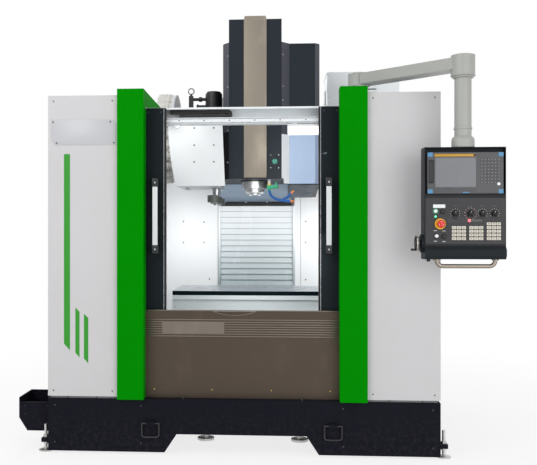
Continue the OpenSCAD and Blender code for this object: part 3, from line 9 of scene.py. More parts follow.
import bmesh
import bpy
import numpy as np
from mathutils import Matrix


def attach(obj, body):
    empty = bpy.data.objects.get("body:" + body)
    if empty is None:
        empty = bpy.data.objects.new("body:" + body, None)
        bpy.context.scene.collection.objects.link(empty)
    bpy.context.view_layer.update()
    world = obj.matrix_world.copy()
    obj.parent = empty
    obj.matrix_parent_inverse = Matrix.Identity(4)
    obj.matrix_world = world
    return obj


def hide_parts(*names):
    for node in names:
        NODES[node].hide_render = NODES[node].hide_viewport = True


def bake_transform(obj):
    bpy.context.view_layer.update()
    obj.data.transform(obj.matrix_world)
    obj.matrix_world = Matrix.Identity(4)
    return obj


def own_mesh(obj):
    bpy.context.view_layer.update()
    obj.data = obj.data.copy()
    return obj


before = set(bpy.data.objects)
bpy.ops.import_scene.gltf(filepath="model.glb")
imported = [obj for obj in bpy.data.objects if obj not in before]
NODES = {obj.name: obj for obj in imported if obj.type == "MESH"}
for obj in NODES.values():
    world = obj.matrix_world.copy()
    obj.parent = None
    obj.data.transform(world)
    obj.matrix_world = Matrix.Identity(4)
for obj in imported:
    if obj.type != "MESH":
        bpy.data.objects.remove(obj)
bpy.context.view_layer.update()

SPINDLE = np.array([60.0, 1130.0, 0.0])
DISC = np.array([0.0, 1130.0, 2080.0])  # the magazine disc's axis
GUARD_X = 1205  # the side guards' outer faces
POST = (744, 264, 0)  # the axis of the swing arm's post
ELBOW = (1286, -222, 0)  # the axis that the pendant hangs on


# Shader maths

class Value:
    """A node's output that takes part in sums."""

    def __init__(self, ink, socket):
        self.ink, self.socket = ink, socket

    def math(self, operation, *others):
        return self.ink.node("Math", {"operation": operation}, [self, *others])

    def __add__(self, other):
        return self.math("ADD", other)

    def __mul__(self, other):
        return self.math("MULTIPLY", other)

    def __sub__(self, other):
        return self.math("SUBTRACT", other)

    def __rsub__(self, other):
        return self.ink.node("Math", {"operation": "SUBTRACT"}, [other, self])

    def step(self, low, high):
        """0 below low, 1 above high, and a smooth rise between them."""
        return self.ink.node("MapRange", {"interpolation_type": "SMOOTHSTEP"}, [self, low, high, 0.0, 1.0])

    def wave(self, period):
        """A sine of the given period, from 0 to 1."""
        return (self * (2 * math.pi / period)).math("SINE") * 0.5 + 0.5


class Ink:
    """Builds one material."""

    def __init__(self, name):
        self.material = bpy.data.materials.new(name)
        self.material.use_nodes = True
        self.tree = self.material.node_tree
        self.tree.nodes.clear()
        self.place = self.node("TexCoord", {}, [], "Object")
        self.x, self.y, self.z = (self.node("SeparateXYZ", {}, [self.place], axis) for axis in "XYZ")

    def node(self, kind, settings, inputs, output=0):
        """Adds a node: its settings first, then values or links for its inputs, by order or by name."""
        node = self.tree.nodes.new("ShaderNode" + kind)
        for key, setting in settings.items():
            setattr(node, key, setting)
        pairs = inputs.items() if isinstance(inputs, dict) else enumerate(inputs)
        for key, given in pairs:
            if isinstance(given, Value):
                self.tree.links.new(given.socket, node.inputs[key])
            elif given is not None:
                socket = node.inputs[key]
                socket.default_value = (*given, 1.0) if socket.type == "RGBA" and len(given) == 3 else given
        return Value(self, node.outputs[output])

    def noise(self, scale, detail=2.0, stretch=(1, 1, 1)):
        """Noise with scale cells to the metre, stretched along an axis where stretch is small."""
        where = self.node("VectorMath", {"operation": "MULTIPLY"}, [self.place, tuple(stretch)])
        return self.node("TexNoise", {}, {"Vector": where, "Scale": scale, "Detail": detail}, "Fac")

    def mix(self, factor, low, high):
        return self.node("Mix", {"data_type": "RGBA"}, {0: factor, 6: low, 7: high}, 2)

    def shade(self, colour, spread, noise):
        """The colour made darker and lighter by the noise."""
        dark = tuple(c * (1 - spread) for c in colour)
        light = tuple(min(1.0, c * (1 + spread)) for c in colour)
        return self.mix(noise, dark, light)

    def bump(self, height, distance, strength=1.0):
        """Height from 0 to 1, standing distance metres out of the surface."""
        return self.node("Bump", {}, {"Strength": strength, "Distance": distance, "Height": height}, "Normal")

    def finish(self, colour, roughness, metallic=0.0, normal=None, **sockets):
        given = {"Base Color": colour, "Roughness": roughness, "Metallic": metallic}
        if normal is not None:
            given["Normal"] = normal
        given.update({key.replace("_", " "): value for key, value in sockets.items()})
        self.node_output(self.node("BsdfPrincipled", {}, given))
        return self.material

    def node_output(self, surface):
        out = self.tree.nodes.new("ShaderNodeOutputMaterial")
        self.tree.links.new(surface.socket, out.inputs["Surface"])


def rgb(red, green, blue):
    """Linear colour of an 8-bit screen colour."""
    parts = (c / 255 for c in (red, green, blue))
    return tuple(c / 12.92 if c <= 0.04045 else ((c + 0.055) / 1.055) ** 2.4 for c in parts)


def powder_coat(name, colour, grain=0.35, gloss=0.42, dust=0.0, shine=0.5):
    """Powder coat: a pebbled skin with cells of about 1.5 mm, faint cloudy tone and handling marks."""
    ink = Ink(name)
    pebble = ink.noise(650, 1.5)
    cloud = ink.noise(2.4, 3)
    smear = ink.noise(9, 4, (1, 1, 0.25)).step(0.5, 0.72)
    tone = ink.shade(colour, 0.045, cloud)
    if dust:
        low = 1 - ink.z.step(0.0, 0.42)
        grit = ink.noise(38, 5).step(0.42, 0.7)
        tone = ink.mix(low * grit * dust, tone, (0.30, 0.28, 0.26))
    normal = ink.bump(pebble, 0.00035 * grain, 0.6)
    return ink.finish(tone, smear * 0.10 + pebble * 0.08 + gloss, normal=normal, Specular_IOR_Level=shine)


def enamel(name, colour, gloss=0.28):
    """Smooth machine enamel over a casting: soft waves and small sand marks."""
    ink = Ink(name)
    skin = ink.noise(60, 4)
    marks = ink.noise(240, 2).step(0.62, 0.75)
    tone = ink.shade(colour, 0.06, ink.noise(3, 3))
    return ink.finish(tone, skin * 0.18 + gloss, normal=ink.bump(skin + marks * 0.4, 0.0007, 0.5))


def brushed(name, colour, along="x", rough=0.34, stain=0.12):
    """Brushed sheet: hair lines along one axis, broad cloudy stains and a few wiped marks."""
    ink = Ink(name)
    stretch = [1.0, 1.0, 1.0]
    stretch["xyz".index(along)] = 0.012
    hair = ink.noise(700, 3, stretch)
    broad = ink.noise(2.6, 4, [1 if s == 1 else 0.4 for s in stretch])
    wiped = ink.noise(7, 3, (1, 1, 0.5)).step(0.56, 0.74)
    tone = ink.shade(colour, stain, broad)
    tone = ink.mix(hair * 0.35, tone, tuple(c * 0.72 for c in colour))
    tone = ink.mix(wiped * 0.16, tone, tuple(min(1, c * 1.5) for c in colour))
    return ink.finish(tone, hair * 0.16 + broad * 0.10 + rough - wiped * 0.06, 1.0, ink.bump(hair, 0.00012, 0.5))


def machined(name, colour, rough=0.22, pitch=0.0011):
    """Turned or ground steel: fine tool marks across z, with an oily tone."""
    ink = Ink(name)
    lines = ink.z.wave(pitch)
    drift = ink.noise(30, 3)
    oil = ink.noise(8, 3).step(0.45, 0.7)
    tone = ink.shade(colour, 0.10, drift)
    return ink.finish(tone, drift * 0.12 + rough - oil * 0.06, 1.0, ink.bump(lines * 0.4 + drift, 0.00008, 0.5))


def moulded(name, colour, gloss=0.5, grain=900):
    """Moulded plastic with a leathered grain and lighter rubbed places."""
    ink = Ink(name)
    pebble = ink.noise(grain, 1)
    rubbed = ink.noise(14, 3).step(0.55, 0.8)
    worn = tuple(min(1, c * 1.6 + 0.01) for c in colour)
    tone = ink.mix(rubbed * 0.14, ink.shade(colour, 0.05, ink.noise(6, 2)), worn)
    return ink.finish(tone, pebble * 0.1 + gloss - rubbed * 0.08, normal=ink.bump(pebble, 0.00012, 0.5))


def stepped_plates(name, low, high):
    """Coated way cover plates with painted shade, darker towards the bottom and paler towards the top, with wiped oil
    in their shine.
    """
    ink = Ink(name)
    film = ink.noise(5, 4, (1, 1, 0.4))
    # Painted shade: the colour runs from the darker low colour at the bottom to the paler high colour at the top
    tone = ink.mix(ink.z.step(0.80, 1.66), low, high)
    pebble = ink.noise(650, 1.5)
    return ink.finish(ink.mix(film * 0.10, tone, low), film * 0.12 + 0.2, normal=ink.bump(pebble, 0.00005, 0.6))


def glossy(name, colour, gloss=0.16):
    """Smooth coloured plastic with fine scratches in its shine."""
    ink = Ink(name)
    fine = ink.noise(180, 4, (1, 1, 0.2))
    tone = ink.shade(colour, 0.04, ink.noise(20, 2))
    return ink.finish(tone, fine * 0.12 + gloss, normal=ink.bump(fine, 0.00003, 0.3))


def lit(name, colour, strength):
    """A lamp or a small light behind a frosted cover."""
    ink = Ink(name)
    frost = ink.noise(300, 2)
    return ink.finish(ink.shade(colour, 0.03, frost), frost * 0.1 + 0.35,
                      Emission_Color=(*colour, 1.0), Emission_Strength=strength)


def clear_pane(name, tint):
    """Laminated pane: clear, faintly tinted, with wiped streaks in its shine."""
    ink = Ink(name)
    streak = ink.noise(5, 4, (1, 1, 0.3))
    return ink.finish(ink.shade(tint, 0.05, streak), streak * 0.08 + 0.04, Alpha=streak * 0.06 + 0.26)


WHITE = powder_coat("white powder coat", rgb(210, 208, 209), dust=0.12)
PALE = powder_coat("pale powder coat", rgb(228, 230, 231), grain=0.25)
CABINET = powder_coat("cabinet coat", rgb(246, 250, 253), grain=0.3)
GREEN = powder_coat("green powder coat", rgb(0, 141, 0), grain=0.4, gloss=0.45, dust=0.02, shine=0.03)
STRIPE = glossy("stripe film", rgb(40, 150, 28), 0.35)
NAVY = powder_coat("base coat", rgb(20, 20, 30), gloss=0.48, dust=0.03, shine=0.08)
SLATE = powder_coat("slate coat", rgb(30, 38, 46), grain=0.3, gloss=0.38, shine=0.22)
WING = powder_coat("slate coat of the wings", rgb(80, 81, 91), grain=0.3, gloss=0.40, shine=0.3)
# Painted light: FOLD is the slate coat made much lighter, because the plate under the head lies in shade
FOLD = powder_coat("slate coat under the head with painted light", rgb(134, 150, 166), grain=0.2, gloss=0.34)
# Painted light: UNDER is the slate coat made lighter, because the side box's underside lies in shade
UNDER = powder_coat("slate coat under the side box with painted light", rgb(46, 62, 80), grain=0.2, gloss=0.4, shine=0.3)
SHADE = powder_coat("shaded slate coat", rgb(20, 20, 25), grain=0.2, gloss=0.5, shine=0.2)
DOOR = powder_coat("door coat", rgb(22, 30, 35), grain=0.3, gloss=0.36, shine=0.12)
HEAD_PALE = powder_coat("head side coat", rgb(170, 190, 219), grain=0.25)
APRON = brushed("apron steel", rgb(90, 80, 71), "x", 0.40, 0.14)
RIB = brushed("rib steel", rgb(130, 121, 112), "x", 0.36, 0.08)
STRIP = brushed("strip steel", rgb(153, 145, 133), "z", 0.48, 0.08)
STEEL = machined("machined steel", rgb(188, 190, 194))
DARK_STEEL = machined("blackened steel", rgb(84, 84, 88), 0.34)
TABLE = machined("ground table", rgb(190, 196, 202), 0.26, 0.004)
WAY = brushed("way cover steel", rgb(196, 202, 202), "x", 0.30, 0.06)
# Painted shade: the plates take the darker colour at the bottom and the paler one at the top
PLATES = stepped_plates("column cover plates with painted shade", rgb(148, 164, 168), rgb(250, 253, 255))
TABLE_EDGE = powder_coat("table edge coat", rgb(10, 24, 29), gloss=0.5, shine=0.04)
TABLE_FRONT = powder_coat("table cover coat", rgb(236, 244, 244), grain=0.2, gloss=0.3)
LINE = powder_coat("plate edge shadow", rgb(120, 128, 132), grain=0.1)
ZINC = machined("zinc plate", rgb(206, 206, 204), 0.42)
CASTING = enamel("casting enamel", rgb(200, 206, 204))
CHANGER = enamel("changer enamel", rgb(78, 84, 80), 0.35)
ARM = powder_coat("arm coat", rgb(172, 173, 168), grain=0.3, gloss=0.36)
BLACK = powder_coat("pendant coat", rgb(32, 37, 41), grain=0.5, gloss=0.42, shine=0.12)
PANEL = moulded("panel film", rgb(38, 38, 41), 0.42)
GREY = moulded("display surround", rgb(84, 84, 86), 0.45)
LEGEND = moulded("key legends", rgb(150, 150, 148), 0.45)
KNOB = moulded("knob black", rgb(9, 9, 11), 0.6)
PLASTIC = moulded("black plastic", rgb(30, 30, 33), 0.4)
SILL = powder_coat("sill coat", rgb(124, 125, 126), grain=0.2)
SATIN = powder_coat("satin black", rgb(30, 31, 34), gloss=0.35)
RUBBER = moulded("rubber", rgb(24, 24, 26), 0.7, 400)
KEY = moulded("key caps", rgb(222, 216, 202), 0.45)
CREAM = moulded("pot plastic", rgb(226, 224, 218), 0.4)
LETTER = glossy("print", rgb(236, 236, 236), 0.5)
MARK = glossy("dark print", rgb(52, 52, 56), 0.5)
PLATE = powder_coat("name plate", rgb(198, 198, 201), grain=0.1, gloss=0.3)
BLUE = glossy("blue hose", rgb(30, 96, 172), 0.3)
CORNER = glossy("blue film", rgb(80, 140, 182), 0.3)
ORANGE = glossy("orange nozzle", rgb(226, 132, 52), 0.3)
VALVE = glossy("green valve", rgb(40, 168, 120), 0.3)
RED = glossy("red plastic", rgb(224, 44, 32), 0.14)
YELLOW = glossy("yellow plastic", rgb(240, 186, 40), 0.3)
BUTTON = glossy("white button", rgb(238, 240, 240), 0.2)
SCREEN = glossy("screen glass", rgb(113, 114, 119), 0.12)
DARK_GLASS = glossy("dark glass", rgb(20, 21, 25), 0.1)
# Painted shadow: a near-black for grooves, gaps and overhangs where shade falls
SHADOW = moulded("painted shadow black", rgb(10, 10, 12), 0.6)
SIGHT = glossy("sight glass", rgb(62, 150, 132), 0.08)
BRIGHT = machined("bright steel", rgb(238, 238, 238), 0.30)
CHROME = machined("chrome", rgb(214, 208, 198), 0.12, 0.02)
TUBE = machined("handle tube", rgb(150, 141, 131), 0.26, 0.02)
BRASS = machined("brass", rgb(205, 170, 100), 0.25)
PANE = clear_pane("laminated pane", rgb(205, 218, 224))
LAMP = lit("lamp cover", (0.95, 0.98, 1.0), 1.2)
GREEN_LIGHT = lit("green light", rgb(90, 240, 160), 1.4)
PINK_LIGHT = lit("pink light", rgb(240, 110, 120), 1.0)
YELLOW_STRIP = glossy("yellow strip", rgb(196, 146, 34), 0.25)


# Surfaces, worked out as whole arrays

def rectangle(w, h, r, k):
    """Outline of a w by h rectangle whose corners are quarter circles of radius r, k steps each."""
    turn = np.linspace(0, np.pi / 2, k + 1)
    quarter = np.concatenate([turn + i * np.pi / 2 for i in range(4)])
    sx = np.repeat([1, -1, -1, 1], k + 1) * (w / 2 - r)
    sy = np.repeat([1, 1, -1, -1], k + 1) * (h / 2 - r)
    return np.stack([sx + r * np.cos(quarter), sy + r * np.sin(quarter)], 1)


def spun(axis, along, across):
    """Points whose distance along the axis is given, and whose two other coordinates are across."""
    order = {"x": (2, 0, 1), "y": (1, 2, 0), "z": (0, 1, 2)}[axis]
    points = np.stack([across[..., 0], across[..., 1], np.broadcast_to(along, across.shape[:-1])], -1)
    return points[..., order]


def frames(path):
    """A path as an array, and two unit normals carried along it without twist."""
    path = np.asarray(path, float)
    tangent = np.gradient(path, axis=0)
    tangent /= np.linalg.norm(tangent, axis=1, keepdims=True)
    start = np.array([0.0, 0.0, 1.0]) if abs(tangent[0][2]) < 0.9 else np.array([0.0, 1.0, 0.0])
    side = np.empty_like(tangent)
    for i, t in enumerate(tangent):
        start = start - t * (start @ t)
        start /= np.linalg.norm(start)
        side[i] = start
    return path, side, np.cross(tangent, side)


def stand(name, data):
    """Puts an object with this data in the scene."""
    obj = bpy.data.objects.new(name, data)
    bpy.context.scene.collection.objects.link(obj)
    return obj


class Form:
    """Collects the parts of one piece, with a material for each. Its y may count from a front face."""

    def __init__(self, y=0.0):
        self.shift = (0.0, y, 0.0)
        self.points, self.faces, self.tones, self.count, self.materials = [], [], [], 0, []

    def tone(self, material):
        if material not in self.materials:
            self.materials.append(material)
        return self.materials.index(material)

    def add(self, points, faces, material):
        points = np.asarray(points, float).reshape(-1, 3) + self.shift
        self.points.append(points)
        self.faces += [[i + self.count for i in face] for face in faces]
        self.tones += [self.tone(material)] * len(faces)
        self.count += len(points)

    def loft(self, rings, material, caps=True):
        """Joins rings, each an array of n points, by quads in order, and closes the first and the last."""
        rings = np.asarray(rings, float)
        m, n = rings.shape[:2]
        i, j = np.meshgrid(np.arange(m - 1), np.arange(n), indexing="ij")
        a, b = i * n + j, i * n + (j + 1) % n
        faces = np.stack([a, b, b + n, a + n], -1).reshape(-1, 4).tolist()
        if caps:
            faces += [list(range(n))[::-1], list(range((m - 1) * n, m * n))]
        self.add(rings, faces, material)

    def block(self, x0, x1, y0, y1, z0, z1, material, r=1.0, axis="z", k=2, corner=None):
        """A box with rounded edges: its outline is drawn in by r(1 - sin t) at r(1 - cos t) from each end."""
        low, high = np.sort(np.array([[x0, y0, z0], [x1, y1, z1]], float), 0)
        mid, size = (low + high) / 2, high - low
        i = "xyz".index(axis)
        u, v = (i + 1) % 3, (i + 2) % 3
        r = min(r, 0.49 * size.min())
        corner = r if corner is None else corner
        turn = np.linspace(0, np.pi / 2, k + 1)
        back = turn[::-1]
        inset = r * (1 - np.sin(np.concatenate([turn, back])))
        along = np.concatenate([r * (1 - np.cos(turn)) - size[i] / 2, size[i] / 2 - r * (1 - np.cos(back))])
        rings = []
        for d, h in zip(inset, along):
            steps = max(k, 3) if corner > r else k
            flat = rectangle(size[u] - 2 * d, size[v] - 2 * d, max(corner - d, 0.0), steps)
            ring = np.empty((len(flat), 3))
            ring[:, i], ring[:, u], ring[:, v] = h, flat[:, 0], flat[:, 1]
            rings.append(ring + mid)
        self.loft(rings, material)

    def lathe(self, axis, centre, profile, material, n=32, caps=True):
        """A surface of revolution: for each (along, radius) of the profile, a circle about the axis."""
        profile = np.asarray(profile, float)
        turn = np.linspace(0, 2 * np.pi, n, endpoint=False)
        across = profile[:, 1, None, None] * np.stack([np.cos(turn), np.sin(turn)], -1)[None]
        self.loft(spun(axis, profile[:, 0, None], across) + np.asarray(centre, float), material, caps)

    def rod(self, axis, centre, start, end, r, material, bevel=1.0, n=32):
        """A round bar from start to end along the axis, with its end edges broken."""
        b = min(bevel, r * 0.4, abs(end - start) * 0.4)
        self.lathe(axis, centre, [[start, r - b], [start + b, r], [end - b, r], [end, r - b]], material, n)

    def ring(self, axis, centre, start, end, inner, outer, material, n=32, bevel=0.8):
        """A flat ring: a closed rectangular profile with broken edges, turned about the axis."""
        b = min(bevel, (end - start) * 0.3, (outer - inner) * 0.3)
        profile = [[start, inner + b], [start, outer - b], [start + b, outer], [end - b, outer], [end, outer - b],
                   [end, inner + b], [end - b, inner], [start + b, inner], [start, inner + b]]
        self.lathe(axis, centre, profile, material, n, caps=False)

    def tube(self, path, r, material, n=16):
        """A circle of radius r, one or one for each point, carried along the path."""
        path, side, up = frames(path)
        turn = np.linspace(0, 2 * np.pi, n, endpoint=False)
        r = np.broadcast_to(r, len(path))[:, None, None]
        rings = path[:, None] + r * (side[:, None] * np.cos(turn)[:, None] + up[:, None] * np.sin(turn)[:, None])
        self.loft(rings, material)

    def prism(self, outline, start, end, axis, material, bevel=0.0):
        """An outline in the plane across the axis, carried from start to end, its ends drawn in by the bevel."""
        flat = np.asarray(outline, float)
        middle = flat.mean(0)
        small = middle + (flat - middle) * (1 - 2 * bevel / max(1e-6, np.ptp(flat, 0).min()))
        steps = [(start, flat), (end, flat)]
        if bevel:
            steps = [(start, small), (start + bevel, flat), (end - bevel, flat), (end, small)]
        self.loft([spun(axis, h, ring) for h, ring in steps], material)

    def screws(self, spots, facing="-y", material=DARK_STEEL, r=4.0, high=2.2):
        """Socket screws: a domed head with a hexagon sunk in it, the same at each spot."""
        turn = np.linspace(0, 2 * np.pi, 12, endpoint=False)
        circle = np.stack([np.cos(turn), np.sin(turn)], 1)
        hexagon = circle * np.where(np.arange(12) % 2, math.cos(math.pi / 6) * 0.5, 0.5)[:, None]
        rings = [circle * r, circle * r * 0.97, circle * r * 0.8, hexagon * r, hexagon * r]
        heights = [-0.6, high * 0.6, high, high, high * 0.35]
        sign = -1 if facing[0] == "-" else 1
        head = np.stack([spun(facing[1], sign * h, ring) for h, ring in zip(heights, rings)])
        for spot in spots:
            self.loft(head + np.asarray(spot, float), material)

    def piece(self, name, body, slot, replaces=()):
        """Makes the object: welds doubled points, turns the faces outwards and lets it ride on its body."""
        mesh = bpy.data.meshes.new(name)
        points = (np.concatenate(self.points) - SPINDLE) / 1000
        mesh.from_pydata(points.tolist(), [], self.faces)
        mesh.polygons.foreach_set("material_index", self.tones)
        for material in self.materials:
            mesh.materials.append(material)
        work = bmesh.new()
        work.from_mesh(mesh)
        bmesh.ops.remove_doubles(work, verts=work.verts, dist=2e-6)
        bmesh.ops.dissolve_degenerate(work, edges=work.edges, dist=1e-6)
        bmesh.ops.recalc_face_normals(work, faces=work.faces)
        work.to_mesh(mesh)
        work.free()
        mesh.polygons.foreach_set("use_smooth", [True] * len(mesh.polygons))
        mesh.set_sharp_from_angle(angle=math.radians(35))
        obj = stand(name, mesh)
        if body:
            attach(obj, body)
        if replaces:
            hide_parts(*replaces)
        return obj


def coat(material, *names):
    """Gives the CAD nodes a finish."""
    for name in names:
        data = NODES[name].data
        data.materials.clear()
        data.materials.append(material)
        data.polygons.foreach_set("use_smooth", [True] * len(data.polygons))
        data.set_sharp_from_angle(angle=math.radians(30))


# Studio

def backdrop_rays(tree):
    """1 for rays from the camera, off a mirror or through glass, which show the backdrop's own white."""
    path = tree.nodes.new("ShaderNodeLightPath")
    total = path.outputs["Is Camera Ray"]
    for ray in ("Is Glossy Ray", "Is Transmission Ray"):
        more = tree.nodes.new("ShaderNodeMath")
        more.operation, more.use_clamp = "ADD", True
        tree.links.new(total, more.inputs[0])
        tree.links.new(path.outputs[ray], more.inputs[1])
        total = more.outputs[0]
    return total


def studio():
    floor_ink = Ink("studio floor")
    far = floor_ink.x * floor_ink.x + floor_ink.y * floor_ink.y
    fade = far.math("SQRT").step(1.5, 4.6)
    paper = floor_ink.node("BsdfPrincipled", {}, {"Base Color": (0.98, 0.98, 0.98), "Roughness": 0.9})
    glow = floor_ink.node("Emission", {}, [(1.0, 1.0, 1.0), 1.0])
    shown = Value(floor_ink, backdrop_rays(floor_ink.tree))
    floor_ink.node_output(floor_ink.node("MixShader", {}, [shown * (fade * 0.2 + 0.8), paper, glow]))
    side = 60.0
    mesh = bpy.data.meshes.new("floor")
    mesh.from_pydata([(-side, -side, 0), (side, -side, 0), (side, side, 0), (-side, side, 0)], [], [(0, 1, 2, 3)])
    mesh.materials.append(floor_ink.material)
    floor = stand("floor", mesh)

    world = bpy.data.worlds.new("studio")
    bpy.context.scene.world = world
    world.use_nodes = True
    tree = world.node_tree
    tree.nodes.clear()
    mix = tree.nodes.new("ShaderNodeMixShader")
    # The light that falls on the machine, and the white that the camera sees behind it
    for i, colour, strength in ((1, (0.97, 0.98, 1.0, 1.0), 0.60), (2, (1.0, 1.0, 1.0, 1.0), 1.0)):
        sky = tree.nodes.new("ShaderNodeBackground")
        sky.inputs[0].default_value, sky.inputs[1].default_value = colour, strength
        tree.links.new(sky.outputs[0], mix.inputs[i])
    out = tree.nodes.new("ShaderNodeOutputWorld")
    tree.links.new(backdrop_rays(tree), mix.inputs[0])
    tree.links.new(mix.outputs[0], out.inputs[0])

    def lamp(name, place, towards, size, watts):
        data = bpy.data.lights.new(name, "AREA")
        data.size, data.energy = size, watts
        obj = stand(name, data)
        obj.location = place
        obj.visible_camera = False
        x, y, z = np.subtract(towards, place)
        obj.rotation_euler = (math.atan2(math.hypot(x, y), -z), 0, math.atan2(y, x) - math.pi / 2)

    lamp("key", (-3.6, -5.2, 4.6), (0, 0, 1.2), 2.6, 105)
    lamp("fill", (3.2, -5.4, 2.0), (0.1, 0, 1.2), 3.2, 55)
    lamp("back", (-1.5, 5.0, 4.2), (0, 0.6, 1.3), 3.0, 70)
    lamp("cabin_left", (-0.54, -0.60, 2.09), (-0.75, 0.2, 0.9), 0.35, 0.62)
    lamp("cabin_right", (0.36, -0.94, 1.96), (0.62, 0.3, 0.9), 0.25, 2.2)
    lamp("cabin_front", (0.02, -0.98, 1.50), (0.02, 0.3, 0.95), 0.9, 2.0)
    lamp("wall_left", (-0.58, 0.02, 1.42), (-0.54, 0.62, 1.0), 0.45, 3.0)
    lamp("wall_right", (0.62, 0.05, 1.42), (0.56, 0.62, 1.0), 0.3, 3.5)
    lamp("wall_middle", (0.0, 0.25, 1.56), (0.0, 0.62, 1.3), 0.5, 0.7)

    data = bpy.data.cameras.new("camera")
    data.sensor_width, data.lens, data.shift_x, data.shift_y = 36.0, 54.64, 0.094, 0.0
    camera = stand("camera", data)
    camera.location = (0.133, -6.130, 1.373)
    camera.rotation_euler = (math.radians(90), 0, math.radians(3.84))
    bpy.context.scene.camera = camera
    bpy.context.scene.view_settings.view_transform = "Standard"


# Cabin outside

def cabin_outside():
    coat(WHITE, "left_guard", "right_guard")
    coat(GREEN, "left_pillar", "right_pillar")
    coat(NAVY, "base_skirt", "chip_chute")
    coat(ZINC, "leveling_feet")
    coat(SATIN, "left_pull_ring", "right_pull_ring")

    stripes = Form()
    for outline in (
        [(-1104, 1861), (-1066, 1861), (-1066, 638), (-1104, 682)],
        [(-1032, 906), (-1006, 880), (-1006, 596), (-1032, 626)],
        [(-978, 869), (-951, 842), (-951, 559), (-978, 590)],
    ):
        stripes.prism([(z, x) for x, z in outline], -0.8, 0.2, "y", STRIPE)
    stripes.piece("left_panel_stripes", "root", "green_paint")

    plate = Form()
    outline = [(-1186, 1947), (-1160, 1916), (-776, 1916), (-776, 2050), (-800, 2074), (-1186, 2074)]
    plate.prism([(z, x) for x, z in outline], -2.4, 0.2, "y", PLATE, 0.6)
    plate.screws([(-1172, -2.4, 2060), (-790, -2.4, 1930), (-812, -2.4, 2060), (-1150, -2.4, 1930)], r=5)
    plate.piece("bare_plate", "root", "stainless")

    trim = Form()
    for side, outward in ((-1, "-x"), (1, "+x")):
        spots = [(side * GUARD_X, y, z) for y in (60, 900, 1690) for z in (420, 1290, 2170)]
        trim.screws(spots, outward, r=5)
        trim.screws([(side * x, 0, z) for x in (800, 1170) for z in (390, 2190)], r=4.5)
    trim.screws([(x, 8.8, 349) for x in (-1082, -900, 900, 1099)], r=5)
    trim.piece("guard_screws", "root", "machined_steel")

    seams = Form()
    for side in (-1, 1):
        face = side * GUARD_X
        hatch, vent = face + side * 9, face + side * 11
        for y0, y1, z0, z1 in ((866, 872, 370, 2212), (40, 1700, 1294, 1299)):
            seams.block(face, face + side * 1.2, y0, y1, z0, z1, MARK, 0.4, "x", 1)
        seams.block(face, hatch, 250, 620, 560, 1130, WHITE, 3, "x", 2, 18)
        seams.block(hatch, vent, 270, 600, 580, 1110, PALE, 1, "x", 1, 10)
        for z in range(640, 1060, 30):
            seams.block(vent, face + side * 15, 310, 560, z, z + 9, DARK_STEEL, 1.5, "x", 1)
        # The grey sill that stands back between the skirt and the guard
        seams.block(side * 770, side * 1190, 8.8, 10.5, 342.6, 355.4, SILL, 0.4)
    seams.piece("guard_access_panels", "root", "white_paint")

    rim = Form()
    rim.block(-1420, -1205, 98, 108, 286, 294, NAVY, 2)
    rim.block(-1420, -1412, 98, 360, 316, 324, NAVY, 2)
    rim.block(-1419, -1206, 352, 364, 316, 324, NAVY, 2)
    rim.screws([(-1380, 99, 270), (-1240, 99, 270), (-1380, 99, 220), (-1240, 99, 140)], r=4)
    rim.piece("chute_rim", "root", "dark_paint")

    ledge = Form()
    for x in (-1082, -359, 373, 1099):
        ledge.lathe("z", (x, 25, 342), [[-0.5, 13], [1.5, 13], [2, 9], [2, 8], [9, 8], [10, 6.5]], DARK_STEEL, 6)
    for x in (-1160, -620, 620, 1160):
        ledge.screws([(x, 0, z) for z in (70, 300)], r=6, high=4)
    ledge.piece("ledge_bolts", "root", "machined_steel")


def apron_and_beam():
    coat(APRON, "front_apron")
    coat(CABINET, "door_beam")
    coat(PALE, "cabin_liner")
    coat(PLASTIC, "beam_cable_chain")
    ribs = Form()
    for z in np.linspace(727, 830, 8):
        ribs.block(-599, 599, 56.5, 60.2, z - 3.2, z + 3.2, RIB, 1.6, "x", 2)
    ribs.block(-497, -107, 55.6, 58, 744, 815, RIB, 0.8, "y", 1, 3)
    ribs.screws([(x, 60, 394) for x in (-546, -185, 184, 547)], "-y", BRASS, 4.5)
    turn = np.linspace(-1, 1, 25)
    arc = np.stack([-44 + 146 * turn, np.full(25, 59.5), 1216 - np.sqrt(359 ** 2 - (146 * turn) ** 2)], 1)
    ribs.tube(arc, 2.4, RIB, 8)
    ribs.block(-600, 600, 57.5, 62, 884, 890, RIB, 1.5, "x", 2)
    ribs.piece("apron_ribs", "root", "stainless")

    rail = Form()
    rail.block(-598, 598, 136, 140.3, 2064, 2070, STEEL, 1, "x", 1)
    rail.screws([(x, 140, 2082) for x in range(-560, 561, 160)], r=4)
    rail.block(-590, 590, 137, 141, 2090, 2096, STEEL, 1.2, "x", 1)
    rail.piece("beam_trim", "root", "pale_paint")

    lamp = Form()
    lamp.block(285, 560, 122, 189, 2000, 2054, PALE, 8, "x", 3)
    lamp.block(288, 557, 120.5, 187, 1990, 2040, LAMP, 5, "x", 3)
    for x in (315, 500):
        lamp.block(x, x + 30, 137, 174, 2052, 2060, PALE, 1)
    lamp.rod("y", (-480, 0, 2135), 220, 780, 17, LAMP, 3)
    for a in (219, 440, 735):
        lamp.ring("y", (-480, 0, 2135), a, a + 34, 15, 21, PALE)
    lamp.block(-600, -470, 690, 720, 2146, 2153, PALE, 1.5)
    lamp.block(-601, -595, 690, 720, 2144, 2196, PALE, 1.5)
    lamp.piece("cabin_lamps", "root", "pale_paint", ["work_lamps"])

    wall = Form()
    spots = [(-546, 1464), (-375, 1459), (-546, 1290), (-375, 1290), (-330, 988), (463, 986), (463, 1464), (620, 1464),
             (463, 1290), (620, 1290), (-880, 1464), (-880, 988), (900, 1464), (900, 988)]
    wall.screws([(x, 1732, z) for x, z in spots], r=6, high=3)
    wall.block(420, 423, 1730.5, 1732.5, 620, 1950, LINE, 0.6)
    wall.piece("rear_wall_screws", "root", "machined_steel")


